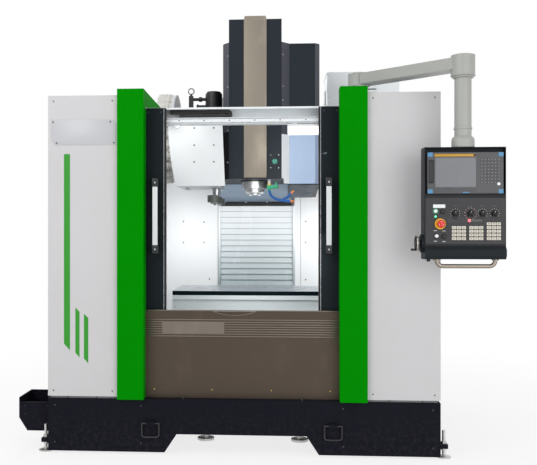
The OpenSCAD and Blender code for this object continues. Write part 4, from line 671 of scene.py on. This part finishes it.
def doors():
    coat(DOOR, "left_door", "right_door")
    coat(PANE, "left_window", "right_window")
    pane_w, pane_h, corner, lip = 410, 900, 50, 7
    for side, name in ((-1, "left"), (1, "right")):
        seal = Form()
        middle = np.array([side * 820, 1580])
        for grow, y0, y1 in ((9, 88.5, 93), (3, 90, 99)):
            wide, high = pane_w + 2 * grow, pane_h + 2 * grow
            outer = rectangle(wide, high, corner + grow, 6) + middle
            inner = rectangle(wide - 2 * lip, high - 2 * lip, corner - lip + grow, 6) + middle
            loop = ((outer, y1), (outer, y0), (inner, y0), (inner, y1), (outer, y1))
            seal.loft([spun("y", y, ring[:, ::-1]) for ring, y in loop], RUBBER, caps=False)
        seal.block(side * 478, side * 486, 89, 135, 850, 2154, RUBBER, 3, "z", 2)
        seal.block(side * 488, side * 492, 90, 92.4, 850, 2154, STEEL, 0.8, "z", 1)
        seal.screws([(side * x, 92, z) for x in (510, 590, 1090) for z in (870, 2130)], r=4.5)
        seal.piece(name + "_door_seal", name + "_door", "black_plastic")

        grip = Form()
        x = side * 537
        grip.rod("z", (x, 38, 0), 1268, 1684, 15, CHROME, 1)
        grip.block(x - 16, x + 16, 21, 30, 1292, 1660, PALE, 3, "z", 2)
        for z in (1241, 1655):
            grip.block(x - 20, x + 20, 19, 55, z, z + 56, SATIN, 6, "z", 3)
            grip.block(x - 12, x + 12, 50, 91.8, z + 10, z + 46, SATIN, 4, "y", 2)
            grip.screws([(x, 19.3, z + 28)], "-y", STEEL, 6)
        grip.piece(name + "_door_grip", name + "_door", "machined_steel", [name + "_handle"])


# Inside the cabin

def machine_inside():
    coat(CASTING, "machine_bed", "column", "saddle", "spindle_head")
    coat(TABLE, "worktable")
    coat(TABLE_FRONT, "table_front_cover")
    coat(STEEL, "x_ball_screw", "y_ball_screw", "z_ball_screw", "arm_shaft")
    coat(BRIGHT, "spindle_shaft", "spindle_housing")
    coat(CHANGER, "change_arm")

    # The column cover: stepped plates that close up as the head comes down
    cover = Form()
    low, high, plates = 840, 1592, 16
    pitch = (high - low) / plates
    for i in range(plates):
        z = low + i * pitch
        top = z + pitch
        outline = [(1764, z), (1745, z + 0.8), (1744.6, z + 4), (1746, z + 7),
                   (1753, top - 1.5), (1754, top), (1764, top)]
        cover.prism(outline, -239.5, 359.5, "x", PLATES)
        # Painted shadow: a dark grey strip under each plate's lower edge
        cover.block(-239, 359, 1743.9, 1746, z + 0.2, z + 2.6, LINE, 0.4, "x", 1)
    for a, b in ((-240, -237), (357, 360)):
        cover.block(a, b, 1746, 1765, low, high, PLATES, 0.8)
    for a, b in ((-256, -238), (358, 376)):
        cover.block(a, b, 1731, 1733, low, high, PLATES, 0.8)
    piece = cover.piece("column_cover_plates", "root", "pale_paint", ["z_way_cover"])
    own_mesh(piece)

    # The saddle's way covers: one closes and the other opens
    def plates_along(y0, y1, count, up):
        form, length = Form(), (y1 - y0) / count
        for i in range(count):
            z = 599 + 4 * (i if up else count - 1 - i)
            a = y0 + i * length
            form.block(-275, 395, a + 0.2, a + length - 0.2, z, z + 4.6, WAY, 1.2)
            edge = a + 1 if up else a + length - 6
            form.block(-275, 395, edge, edge + 5, z + 2, z + 6.5, STEEL, 1)
        return form

    a = plates_along(380, 579.6, 5, True).piece("front_way_cover", None, "stainless", ["y_way_covers"])
    b = plates_along(960.4, 1731.6, 6, False).piece("rear_way_cover", "root", "stainless", ["y_way_covers"])
    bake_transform(a)
    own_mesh(b)

    slots = Form()
    for i in range(5):
        y = 630 + i * 100
        slots.block(-490.5, -484, y - 16, y + 16, 940, 942.5, DARK_STEEL, 0.5)
    slots.block(-489.6, 609.6, 529.4, 531, 882, 974.5, TABLE_EDGE, 0.5, "y", 1)
    for a, b in ((-490.6, -489.8), (609.8, 610.6)):
        slots.block(a, b, 531, 1129, 882, 941, TABLE_EDGE, 0.3, "x", 1)
    slots.piece("table_end_screws", "table", "machined_steel")

    front = Form()
    front.screws([(x, 526, 866) for x in (-470, 590)], "-y", STEEL, 4)
    front.block(-488, 608, 507.6, 529, 938, 946, TABLE_FRONT, 2)
    front.piece("table_cover_screws", "table", "stainless")

    nose = Form()
    nose.ring("z", SPINDLE, 1655.2, 1658, 24, 43, CHROME)
    for i in range(6):
        a = math.radians(60 * i + 30)
        for circle_r, z, r, high in ((62, 1672, 5, 3), (84, 1700, 6, 4)):
            spot = SPINDLE + (circle_r * math.cos(a), circle_r * math.sin(a), z)
            nose.screws([spot], "-z", DARK_STEEL, r, high)
    nose.ring("z", SPINDLE, 1752, 1760, 80, 108, DARK_STEEL)
    nose.piece("spindle_nose_bolts", "head", "machined_steel")


def head_dress():
    coat(SLATE, "head_cover")
    strip = Form()
    strip.block(-15, 149, 871.8, 880, 1769, 2904, STRIP, 1.2, "z", 2)
    taper = [(-15, 149, 872, 880, 2903.5), (-15, 149, 872, 880, 2908),
             (-9, 143, 876, 882, 2932), (-8, 142, 884, 889, 2936)]
    strip.loft([[(a, c, z), (b, c, z), (b, d, z), (a, d, z)] for a, b, c, d, z in taper], STRIP)
    strip.block(-8, 142, 878, 941, 2911, 2918, STRIP, 1)
    strip.piece("head_front_strip", "head", "stainless", ["head_strip"])

    side = Form()
    # The pale side box under the beam, over the cover's lower part
    outline = [(314, 938.4), (500, 938.4), (533.6, 971), (533.6, 1500),
               (529, 1500), (529, 974), (498.5, 943), (314, 943)]
    side.prism(outline, 1727, 2108, "z", HEAD_PALE)
    side.prism([(257.6, 879.2), (314.2, 938.8), (313, 941), (256.6, 881)], 1762, 2082, "z", CABINET)
    side.prism([(272, 894.6), (314.2, 938.8), (313, 941), (271, 896.4)], 1727, 1763, "z", CABINET)
    side.piece("head_side_skin", "head", "pale_paint")

    wings = Form()
    top = 2739
    left = [(-168.6, 939.6), (-123.4, 879.2), (-122.6, 880.6), (-167, 941)]
    wings.prism(left, 2100, top, "z", WING)
    # Painted shade: the left wing below the beam takes the shaded slate coat
    wings.prism(left, 1762, 2100, "z", SHADE)
    # Painted light: the side box's sloping underside carries the lightened slate coat
    wings.prism([(942, 1721.4), (1499, 1651.6), (1499, 1650), (941, 1720)], 318, 500, "x", UNDER)
    wings.prism([(257.6, 879.2), (313.6, 939.4), (312.8, 941), (256.6, 881)], 2084, top, "z", WING)
    wings.prism([(499.6, 939.2), (532.8, 972), (531, 973), (499, 941)], 2110, top, "z", WING)
    # Painted light: the fold plate under the head carries the lightened slate coat
    wings.prism([(1501, 1760.4), (1754.6, 1629.6), (1753.6, 1628.4), (1500, 1759)], -234, 348, "x", FOLD)
    wings.piece("head_wing_skins", "head", "slate_paint")

    marks = Form()
    marks.screws([(-131, 889, z) for z in (2650, 2426, 2111, 1880)], "-y", STEEL, 5, 3)
    marks.screws([(266, 888.5, z) for z in (2655, 2426, 2325, 2274, 2230)], "-y", STEEL, 5, 3)
    marks.screws([(x, 880, z) for x in (179, 236) for z in (1931, 1840)], "-y", STEEL, 4)
    marks.screws([(470, 1110, 1701)], "-z", STEEL, 7)
    marks.lathe("y", (208, 0, 1884), [[874, 0.1], [874.4, 12], [876, 16], [877, 18.5], [880.4, 18.5]], SIGHT)
    # Painted shadow: a black band across the column cover just under the fold plate, where shade falls
    marks.block(-233, 347, 1742, 1746, 1596, 1622, SHADOW, 1, "x", 1)
    marks.screws([(x, 1744, 1623) for x in (-199, -29, 144)] + [(-99, 1737, 1639)], "-y", STEEL, 5)
    marks.piece("head_cover_screws", "head", "machined_steel")


def coolant():
    hoses = Form()
    hose_a = [(168, 925, 1690), (169, 921, 1668), (176, 914, 1647), (190, 906, 1630), (210, 899, 1617),
              (232, 893, 1609), (255, 888, 1604), (279, 884, 1601), (303, 881, 1598), (326, 879, 1596)]
    hose_b = [(255, 888, 1604), (277, 888, 1613), (297, 888, 1626), (314, 889, 1642), (328, 890, 1657)]
    for chain in (hose_a, hose_b):
        chain = np.array(chain, float)
        for a, b in zip(chain[:-1], chain[1:]):
            share = np.array([-0.22, -0.12, 0.05, 0.22, 0.24, 0.5, 0.80, 0.82, 0.9])[:, None]
            radius = [5, 8.4, 10.4, 9.8, 8.2, 8.4, 10.2, 10.2, 8.8]
            hoses.tube(a + (b - a) * share, radius, BLUE, 14)
        a, b = chain[-2:]
        step = (b - a) / np.linalg.norm(b - a)
        nozzle = b + step * np.array([-8, -3, 0, 5, 12, 22, 24])[:, None]
        hoses.tube(nozzle, [8.4, 10.2, 10.4, 9.4, 6.8, 5.2, 4], ORANGE, 14)
    hoses.rod("z", (168, 930, 0), 1690, 1759.5, 12.5, BUTTON, 1.5)
    hoses.ring("z", (168, 930, 0), 1716, 1730, 10, 16, BRASS, 6)
    hoses.block(150, 234, 910, 946, 1690, 1716, VALVE, 4, "x", 3)
    hoses.ring("x", (0, 928, 1703), 226, 238, 8, 14, BRASS, 6)
    hoses.rod("z", (168, 925, 0), 1676, 1692, 11, VALVE, 2)
    hoses.piece("coolant_nozzles", "head", "blue_plastic", ["coolant_hoses"])

    tap = Form()
    tap.rod("y", (216, 0, 1703), 896, 909.8, 10.5, VALVE, 2)
    tap.rod("y", (216, 0, 1703), 905, 921.5, 4.8, DARK_STEEL, 0.5)
    tap.block(210, 222, 898, 906, 1700, 1738, VALVE, 3, "z", 3)
    tap.piece("coolant_tap", "valve", "green_plastic", ["coolant_valve"])


def changer():
    coat(PALE, "magazine_cover")
    coat(SATIN, "changer_drive")
    shroud = Form()
    shroud.screws([(x, 780, z) for x in (-365, -225) for z in (2117, 1995, 1876)], r=6)
    shroud.block(-543, -193, 777.5, 780.5, 2242, 2249, PALE, 1)
    shroud.piece("magazine_cover_screws", "root", "pale_paint")

    def on_disc(x, r, turn):
        """The point at radius r, turned from the disc's top towards the front."""
        return DISC + (x, -r * math.sin(turn), r * math.cos(turn))

    pots = Form()
    pot_count = 24
    profile = [(-543.5, 20), (-543.5, 28), (-562, 28), (-562, 34), (-564, 36), (-580, 36), (-581, 33.5), (-590, 33.5),
               (-591, 36), (-640, 36), (-648, 34.5), (-652, 32), (-652, 24), (-646, 22), (-600, 14), (-600, 0.2)]
    for i in range(pot_count):
        centre = on_disc(0, 300, 2 * math.pi * i / pot_count)
        pots.lathe("x", centre, profile, CREAM, 20)
        pots.lathe("x", centre, [(-651, 25), (-653, 25), (-653, 22.5), (-646, 21)], STEEL, 20, caps=False)
    pots.rod("x", DISC, -545, -520, 330, PALE, 3, 64)
    pots.rod("x", DISC, -575, -544, 60, DARK_STEEL, 4)
    pots.rod("x", DISC, -521, -290, 30, STEEL, 2)
    for i in range(6):
        a = math.radians(60 * i)
        pots.ring("x", on_disc(0, 165, a), -546.5, -518.5, 44, 55, DARK_STEEL)
        pots.screws([on_disc(-575, 45, a)], "-x", STEEL, 5)
    pots.piece("magazine_disc_and_pots", "magazine", "cream_plastic", ["tool_magazine"])

    drive = Form()
    motor = (-260, 1270, 0)
    for i in range(8):
        drive.ring("z", motor, 2312 + i * 14, 2318 + i * 14, 63, 66.5, SATIN, 40)
    drive.rod("z", motor, 2438, 2456, 56, PLASTIC, 6)
    drive.block(-330, -196, 1120, 1240, 2296, 2302, DARK_STEEL, 1.5)
    drive.screws([(x, y, 2302) for x in (-318, -208) for y in (1135, 1225)], "+z", STEEL, 7, 5)
    drive.rod("x", (0, 1270, 2400), -425, -255, 11, STEEL, 2)
    drive.ring("x", (0, 1270, 2400), -375, -350, 10, 19, SATIN)
    drive.ring("x", (0, 1290, 2340), -392, -380, 19, 25, SATIN)
    turn = np.linspace(0, 2 * np.pi, 40, endpoint=False)
    path = np.stack([-435 + 22 * np.cos(turn), np.full(40, 1267), 2462 + 22 * np.sin(turn)], 1)
    drive.tube(np.concatenate([path, path[:2]]), 4.6, STEEL, 12)
    drive.piece("changer_fittings", "root", "black_metal")

    arm = Form()
    for s in (-1, 1):
        spots = [(-230 + dx, 1130 + s * dy, 1640) for dx in (-14, 14) for dy in (110, 180)]
        arm.screws(spots, "+z", STEEL, 6, 4)
    arm.piece("change_arm_bolts", "change_arm", "machined_steel")


# Pendant

def pendant():
    coat(ARM, "swing_arm")
    coat(BLACK, "pendant_housing")
    front = -277.0  # the pendant's front face, from which the forms on it count their y
    knobs, knob_z = (("mode", 1230), ("feed", 1316), ("spindle", 1382), ("rapid", 1449)), 1481
    stop_at = (1146, 0, 1422)

    arm = Form()
    for z in (2306, 2378):
        arm.ring("z", POST, z, z + 6, 40, 69, ARM, 48)
    arm.ring("z", ELBOW, 2272, 2280, 46, 69.5, ARM, 48)
    arm.rod("z", ELBOW, 2388, 2395, 60, ARM, 3, 48)
    arm.ring("z", ELBOW, 1966, 1978, 47, 52, ARM, 48)
    arm.ring("z", ELBOW, 2262, 2272, 47, 60, ARM, 48)
    arm.piece("swing_arm_collars", "swing_arm", "arm_paint")

    base = Form()
    x0, x1, y0, y1 = 644.5, 830.4, 70.6, 350.4
    for a, b, z0, z1 in ((y0, y1, 2252, 2260.5), (y0, y1, 2164.6, 2173.4),
                         (y0, y0 + 8.8, 2165, 2260), (y1 - 8.8, y1, 2165, 2260)):
        base.block(x0, x1, a, b, z0, z1, CABINET, 0.6)
    base.rod("z", POST, 2260, 2309.6, 45.5, CABINET, 1, 48)
    base.rod("z", POST, 2380.3, 2392.6, 45.5, CABINET, 3, 48)
    base.piece("swing_arm_base", "root", "arm_paint")

    collar = Form()
    profile = [(1861, 56), (1861, 62), (1865, 65), (1905, 64.5), (1918, 60), (1924, 52), (1924, 49), (1915, 49)]
    collar.lathe("z", ELBOW, profile, ARM, 48, caps=False)
    collar.piece("pendant_collar", "pendant", "arm_paint")

    unit = Form(front)
    unit.block(1073, 1499, -7, 29, 1594, 1830, GREY, 4, "y", 2, 6)
    for x0, x1 in ((1074, 1103), (1471, 1498)):
        for z0, z1 in ((1595, 1619), (1805, 1829)):
            unit.block(x0, x1, -8, -6.5, z0, z1, CORNER, 0.6, "y", 1)
    unit.block(1112, 1350, -8.5, -6.8, 1805, 1820, YELLOW_STRIP, 0.8, "y", 2, 6)
    unit.block(1330, 1350, -8.8, -7, 1806, 1819, DARK_GLASS, 0.8, "y", 2, 5)
    unit.block(1112, 1350, -8, -6.8, 1626, 1804, GREY, 0.8, "y", 1, 4)
    unit.block(1117, 1345, -8.9, -7.6, 1631, 1799, SCREEN, 0.7, "y", 1, 5)
    # Painted shade: a black surround for the sunk slot left of the screen
    unit.block(1080, 1109, -8.2, -6.8, 1653, 1787, SHADOW, 0.8, "y", 1, 3)
    unit.block(1084, 1105, -8.8, -8, 1660, 1780, PLASTIC, 0.6, "y", 1, 2)
    for i in range(12):
        x = 1117 + i * 19.4
        unit.block(x, x + 14.5, -9, -6.8, 1607, 1618, GREY, 1, "y", 1)
    unit.block(1270, 1308, -7.6, -6.8, 1597, 1604, CORNER, 0.4, "y", 1)
    for row in range(8):
        for column in range(int(row == 4), 6):
            x, z = 1370 + column * 19, 1780 - row * 18.5
            unit.block(x, x + 14.5, -9.5, -6.8, z, z + 13, GREY, 1.2, "y", 1, 2.5)
            unit.block(x + 4, x + 10, -9.9, -9.2, z + 4.5, z + 8.5, LEGEND, 0.3, "y", 1)
    unit.lathe("y", (1471, 0, 1649), [[-12, 0.1], [-12, 7.5], [-10.5, 9], [-7, 9]], BUTTON, 24)
    unit.piece("display_and_keypad", "pendant", "grey_plastic", ["display_unit"])

    panel = Form(front)
    panel.block(1062.5, 1509.5, 0, 13.8, 1304.5, 1572, PANEL, 1.2, "y", 1)
    # Painted shadow: a black band under the display's overhang, and a black strip for the gap between the panel and
    # its lower lip
    panel.block(1062.5, 1509.5, 2, 13.8, 1572, 1593, SHADOW, 0.6, "y", 1)
    panel.block(1061, 1511, -1, 2, 1294, 1303, SHADOW, 1, "y", 1)
    panel.block(1106, 1174, -1.6, 0.4, 1513, 1533, BUTTON, 0.5, "y", 1, 2)
    panel.block(1303, 1381, -1.6, 0.4, 1434, 1448, GREY, 0.5, "y", 1, 2)
    panel.lathe("y", (1309, 0, 1441), [[-2.6, 0.1], [-2.6, 8], [-1, 9]], PINK_LIGHT, 20)
    low = 1330
    for block_x, rows in ((1211, 4), (1308, 4), (1406, 5)):
        panel.block(block_x - 3, block_x + 81, -0.9, 0.4, low - 3, low + rows * 21, PLASTIC, 0.3, "y", 1, 3)
        for row in range(rows):
            for column in range(3):
                x, z = block_x + column * 27.2, low + row * 21
                panel.block(x, x + 24.5, -3.6, 0.2, z, z + 16.5, KEY, 1.4, "y", 2, 2.5)
                panel.block(x + 5, x + 19, -3.9, -3.4, z + 9.5, z + 11.5, MARK, 0.2, "y", 1)
                panel.block(x + 7, x + 16, -3.9, -3.4, z + 4.5, z + 6, MARK, 0.2, "y", 1)
    for row in range(3):
        for column in range(8):
            x, z = 1190 + column * 13.4, 1430 + row * 11
            panel.block(x, x + 7.5, -0.9, 0.4, z, z + 3.4, GREY, 0.3, "y", 1)
    panel.rod("y", (1120, 0, 1464), -3, 0.5, 6, GREEN_LIGHT, 1.5, 20)
    for x, z, tint in ((1119, 1495, VALVE), (1160, 1492, SATIN), (1125, 1353, PLASTIC), (1167, 1350, PLASTIC)):
        panel.ring("y", (x, 0, z), -3.5, 0.3, 12, 15.5, tint, 28)
    panel.ring("y", stop_at, -4, 0.3, 17, 31, YELLOW, 40)
    for name, x in knobs:
        feed = name == "feed"
        panel.ring("y", (x, 0, knob_z), -0.9, 0.3, 16.5, 37 if feed else 31, PLASTIC, 32, 0.3)
        ticks, reach, r0, r1 = (24, 340, 31, 35) if feed else (9, 240, 25, 29)
        for i in range(ticks):
            a = math.radians(90 + reach / 2 - reach * i / (ticks - 1))
            out = np.array([math.sin(a), math.cos(a)])
            across = 0.9 * np.array([math.cos(a), -math.sin(a)])
            flat = [(knob_z, x) + out * r + w for r, w in ((r0, across), (r0, -across), (r1, -across), (r1, across))]
            panel.prism(flat, -1.9, -1, "y", RED if feed and i % 2 else LETTER)
        panel.block(x - 12, x + 12, -0.9, 0.3, 1522, 1525, GREY, 0.3, "y", 1)
    for x, z in ((1119, 1382), (1167, 1380), (1119, 1322), (1167, 1320)):
        panel.block(x - 9, x + 9, -0.8, 0.3, z, z + 3, LETTER, 0.3, "y", 1)
    panel.piece("control_panel", "pendant", "black_plastic", ["operator_panel"])

    for name, x, z, material in (("start_button", 1119, 1495, BUTTON), ("hold_button", 1160, 1492, PLASTIC),
                                 ("power_on_button", 1125, 1353, BUTTON), ("power_off_button", 1167, 1350, PLASTIC)):
        cap = Form(front)
        profile = [(-12.5, 0.1), (-12.5, 8), (-11, 10), (-5, 10.8), (-4, 10.8), (-4, 8), (8, 8)]
        cap.lathe("y", (x, 0, z), profile, material, 28)
        cap.piece(name + "_cap", name, "white_plastic" if material is BUTTON else "black_plastic", [name])

    stop = Form(front)
    profile = [(-37, 0.1), (-37, 12), (-35, 19), (-31, 22.5), (-27, 23), (-24.5, 21.5),
               (-24, 15), (-12, 14.5), (-12, 8), (4, 8)]
    stop.lathe("y", stop_at, profile, RED, 40)
    for i in range(3):
        a = math.radians(120 * i + 90)
        turn = np.linspace(a - 0.7, a + 0.3, 12)
        path = np.stack([1146 + 14 * np.cos(turn), np.full(12, -36.4), 1422 + 14 * np.sin(turn)], 1)
        stop.tube(path, np.linspace(0.6, 1.3, 12), LETTER, 6)
    stop.piece("emergency_stop_head", "emergency_stop", "red_plastic", ["emergency_stop"])

    for name, x in knobs:
        knob = Form(front)
        turn = np.linspace(0, 2 * np.pi, 60, endpoint=False)
        lobes = 16.5 + 4.0 * np.cos(5 * (turn - np.pi / 2))
        rings = []
        for h, grow in ((-1, 1.02), (-4, 1.02), (-5, 0.96), (-14, 0.9), (-17, 0.8), (-18.6, 0.55)):
            flat = np.stack([lobes * grow * np.sin(turn), lobes * grow * np.cos(turn)], 1) + [knob_z, x]
            rings.append(spun("y", h, flat))
        knob.loft(rings, KNOB)
        knob.rod("y", (x, 0, knob_z), -1.2, 11, 7.8, KNOB)
        knob.block(x - 0.9, x + 0.9, -18.9, -16, knob_z + 5, knob_z + 13, LETTER, 0.3, "y", 1)
        knob.piece(name + "_switch", name + "_knob", "black_plastic", [name + "_knob"])

    wheel = Form()
    x1 = 1035.7  # the wheel's inner face
    profile = [(0, 7), (0, 36), (5, 44), (9, 46), (15, 46), (19, 44), (20, 40), (15, 36), (12, 20), (21, 17),
               (22, 12), (22, 0.1)]
    wheel.lathe("x", (0, -222, 1310), [(x1 - d, r) for d, r in profile], PLASTIC, 48)
    wheel.ring("x", (0, -222, 1310), x1 - 17, x1 - 12.5, 44, 46.8, CHROME, 48)
    for i in range(36):
        a = 2 * math.pi * i / 36
        c = (0, -222 + 45.4 * math.cos(a), 1310 + 45.4 * math.sin(a))
        wheel.rod("x", c, x1 - 11, x1 - 6, 1.4, LETTER, 0.4, 6)
    profile = [(46, 0.1), (46, 5), (44, 7.4), (32, 6), (24, 7.4), (20, 5), (14, 4)]
    wheel.lathe("x", (0, -222, 1274), [(x1 - d, r) for d, r in profile], PLASTIC, 20)
    wheel.piece("pulse_handwheel", "handwheel", "black_plastic", ["handwheel"])

    grip = Form()
    turn = np.linspace(0, np.pi / 2, 12)
    left = np.stack([1165 - 34 * np.sin(turn[::-1]), 1214 - 34 * np.cos(turn[::-1])], 1)
    right = np.stack([1426 + 34 * np.sin(turn), 1214 - 34 * np.cos(turn)], 1)
    flat = np.concatenate([[(1131, 1219)], left, right, [(1460, 1219)]])
    path = np.stack([flat[:, 0], np.full(len(flat), front + 22), flat[:, 1]], 1)
    grip.tube(path, 12.4, TUBE, 24)
    for x in (1131, 1460):
        grip.ring("z", (x, front + 22, 0), 1213.5, 1219.8, 11, 20.5, TUBE)
    grip.piece("pendant_grip", "pendant", "stainless", ["pendant_handle"])

    trim = Form()
    for x in range(1170, 1211, 10):
        trim.block(x, x + 4, -167.5, -165, 1400, 1700, PLASTIC, 0.8)
    trim.rod("z", (1090, -222, 0), 1205, 1221, 11, PLASTIC, 3)
    trim.screws([(x, -167, z) for x in (1080, 1492) for z in (1250, 1540, 1830)], "+y", STEEL, 5)
    trim.piece("pendant_back_fittings", "pendant", "black_metal")


def cabinet():
    coat(CABINET, "electrical_cabinet", "cabinet_door")
    coat(SATIN, "axis_motors")
    door = Form()
    y = 2248  # the door's outer face
    door.block(648, 1217, y - 0.5, y + 2.2, 568, 2677, CABINET, 2, "y", 2, 8)
    for z in (760, 2300):
        for i in range(8):
            door.block(800, 1060, y + 1.5, y + 5, z + i * 22, z + i * 22 + 9, CABINET, 1.6, "y", 1, 4)
    door.block(680, 704, y + 2, y + 18, 1560, 1680, SATIN, 4, "y", 2, 6)
    door.lathe("y", (692, 0, 1720), [[y + 2, 12], [y + 5, 12], [y + 6, 10], [y + 6, 0.1]], STEEL, 24)
    door.piece("cabinet_door_skin", "cabinet_door", "pale_paint")

    body = Form()
    for i in range(12):
        z = 2362 + i * 18
        body.block(633, 641, 1905, 2080, z - 4, z + 6, CABINET, 3, "x", 2)
    body.screws([(x, 1743, z) for x in (660, 1205) for z in (2300, 2480, 2665)], "-y", STEEL, 5)
    body.block(636, 1229, 1739.5, 2244, 2683, 2689, CABINET, 2.5, "z", 2)
    body.screws([(x, yy, 2689) for x in (670, 1195) for yy in (1775, 2210)], "+z", STEEL, 9, 6)
    body.piece("cabinet_louvres", "root", "pale_paint")


studio()
cabin_outside()
apron_and_beam()
doors()
machine_inside()
head_dress()
coolant()
changer()
pendant()
cabinet()
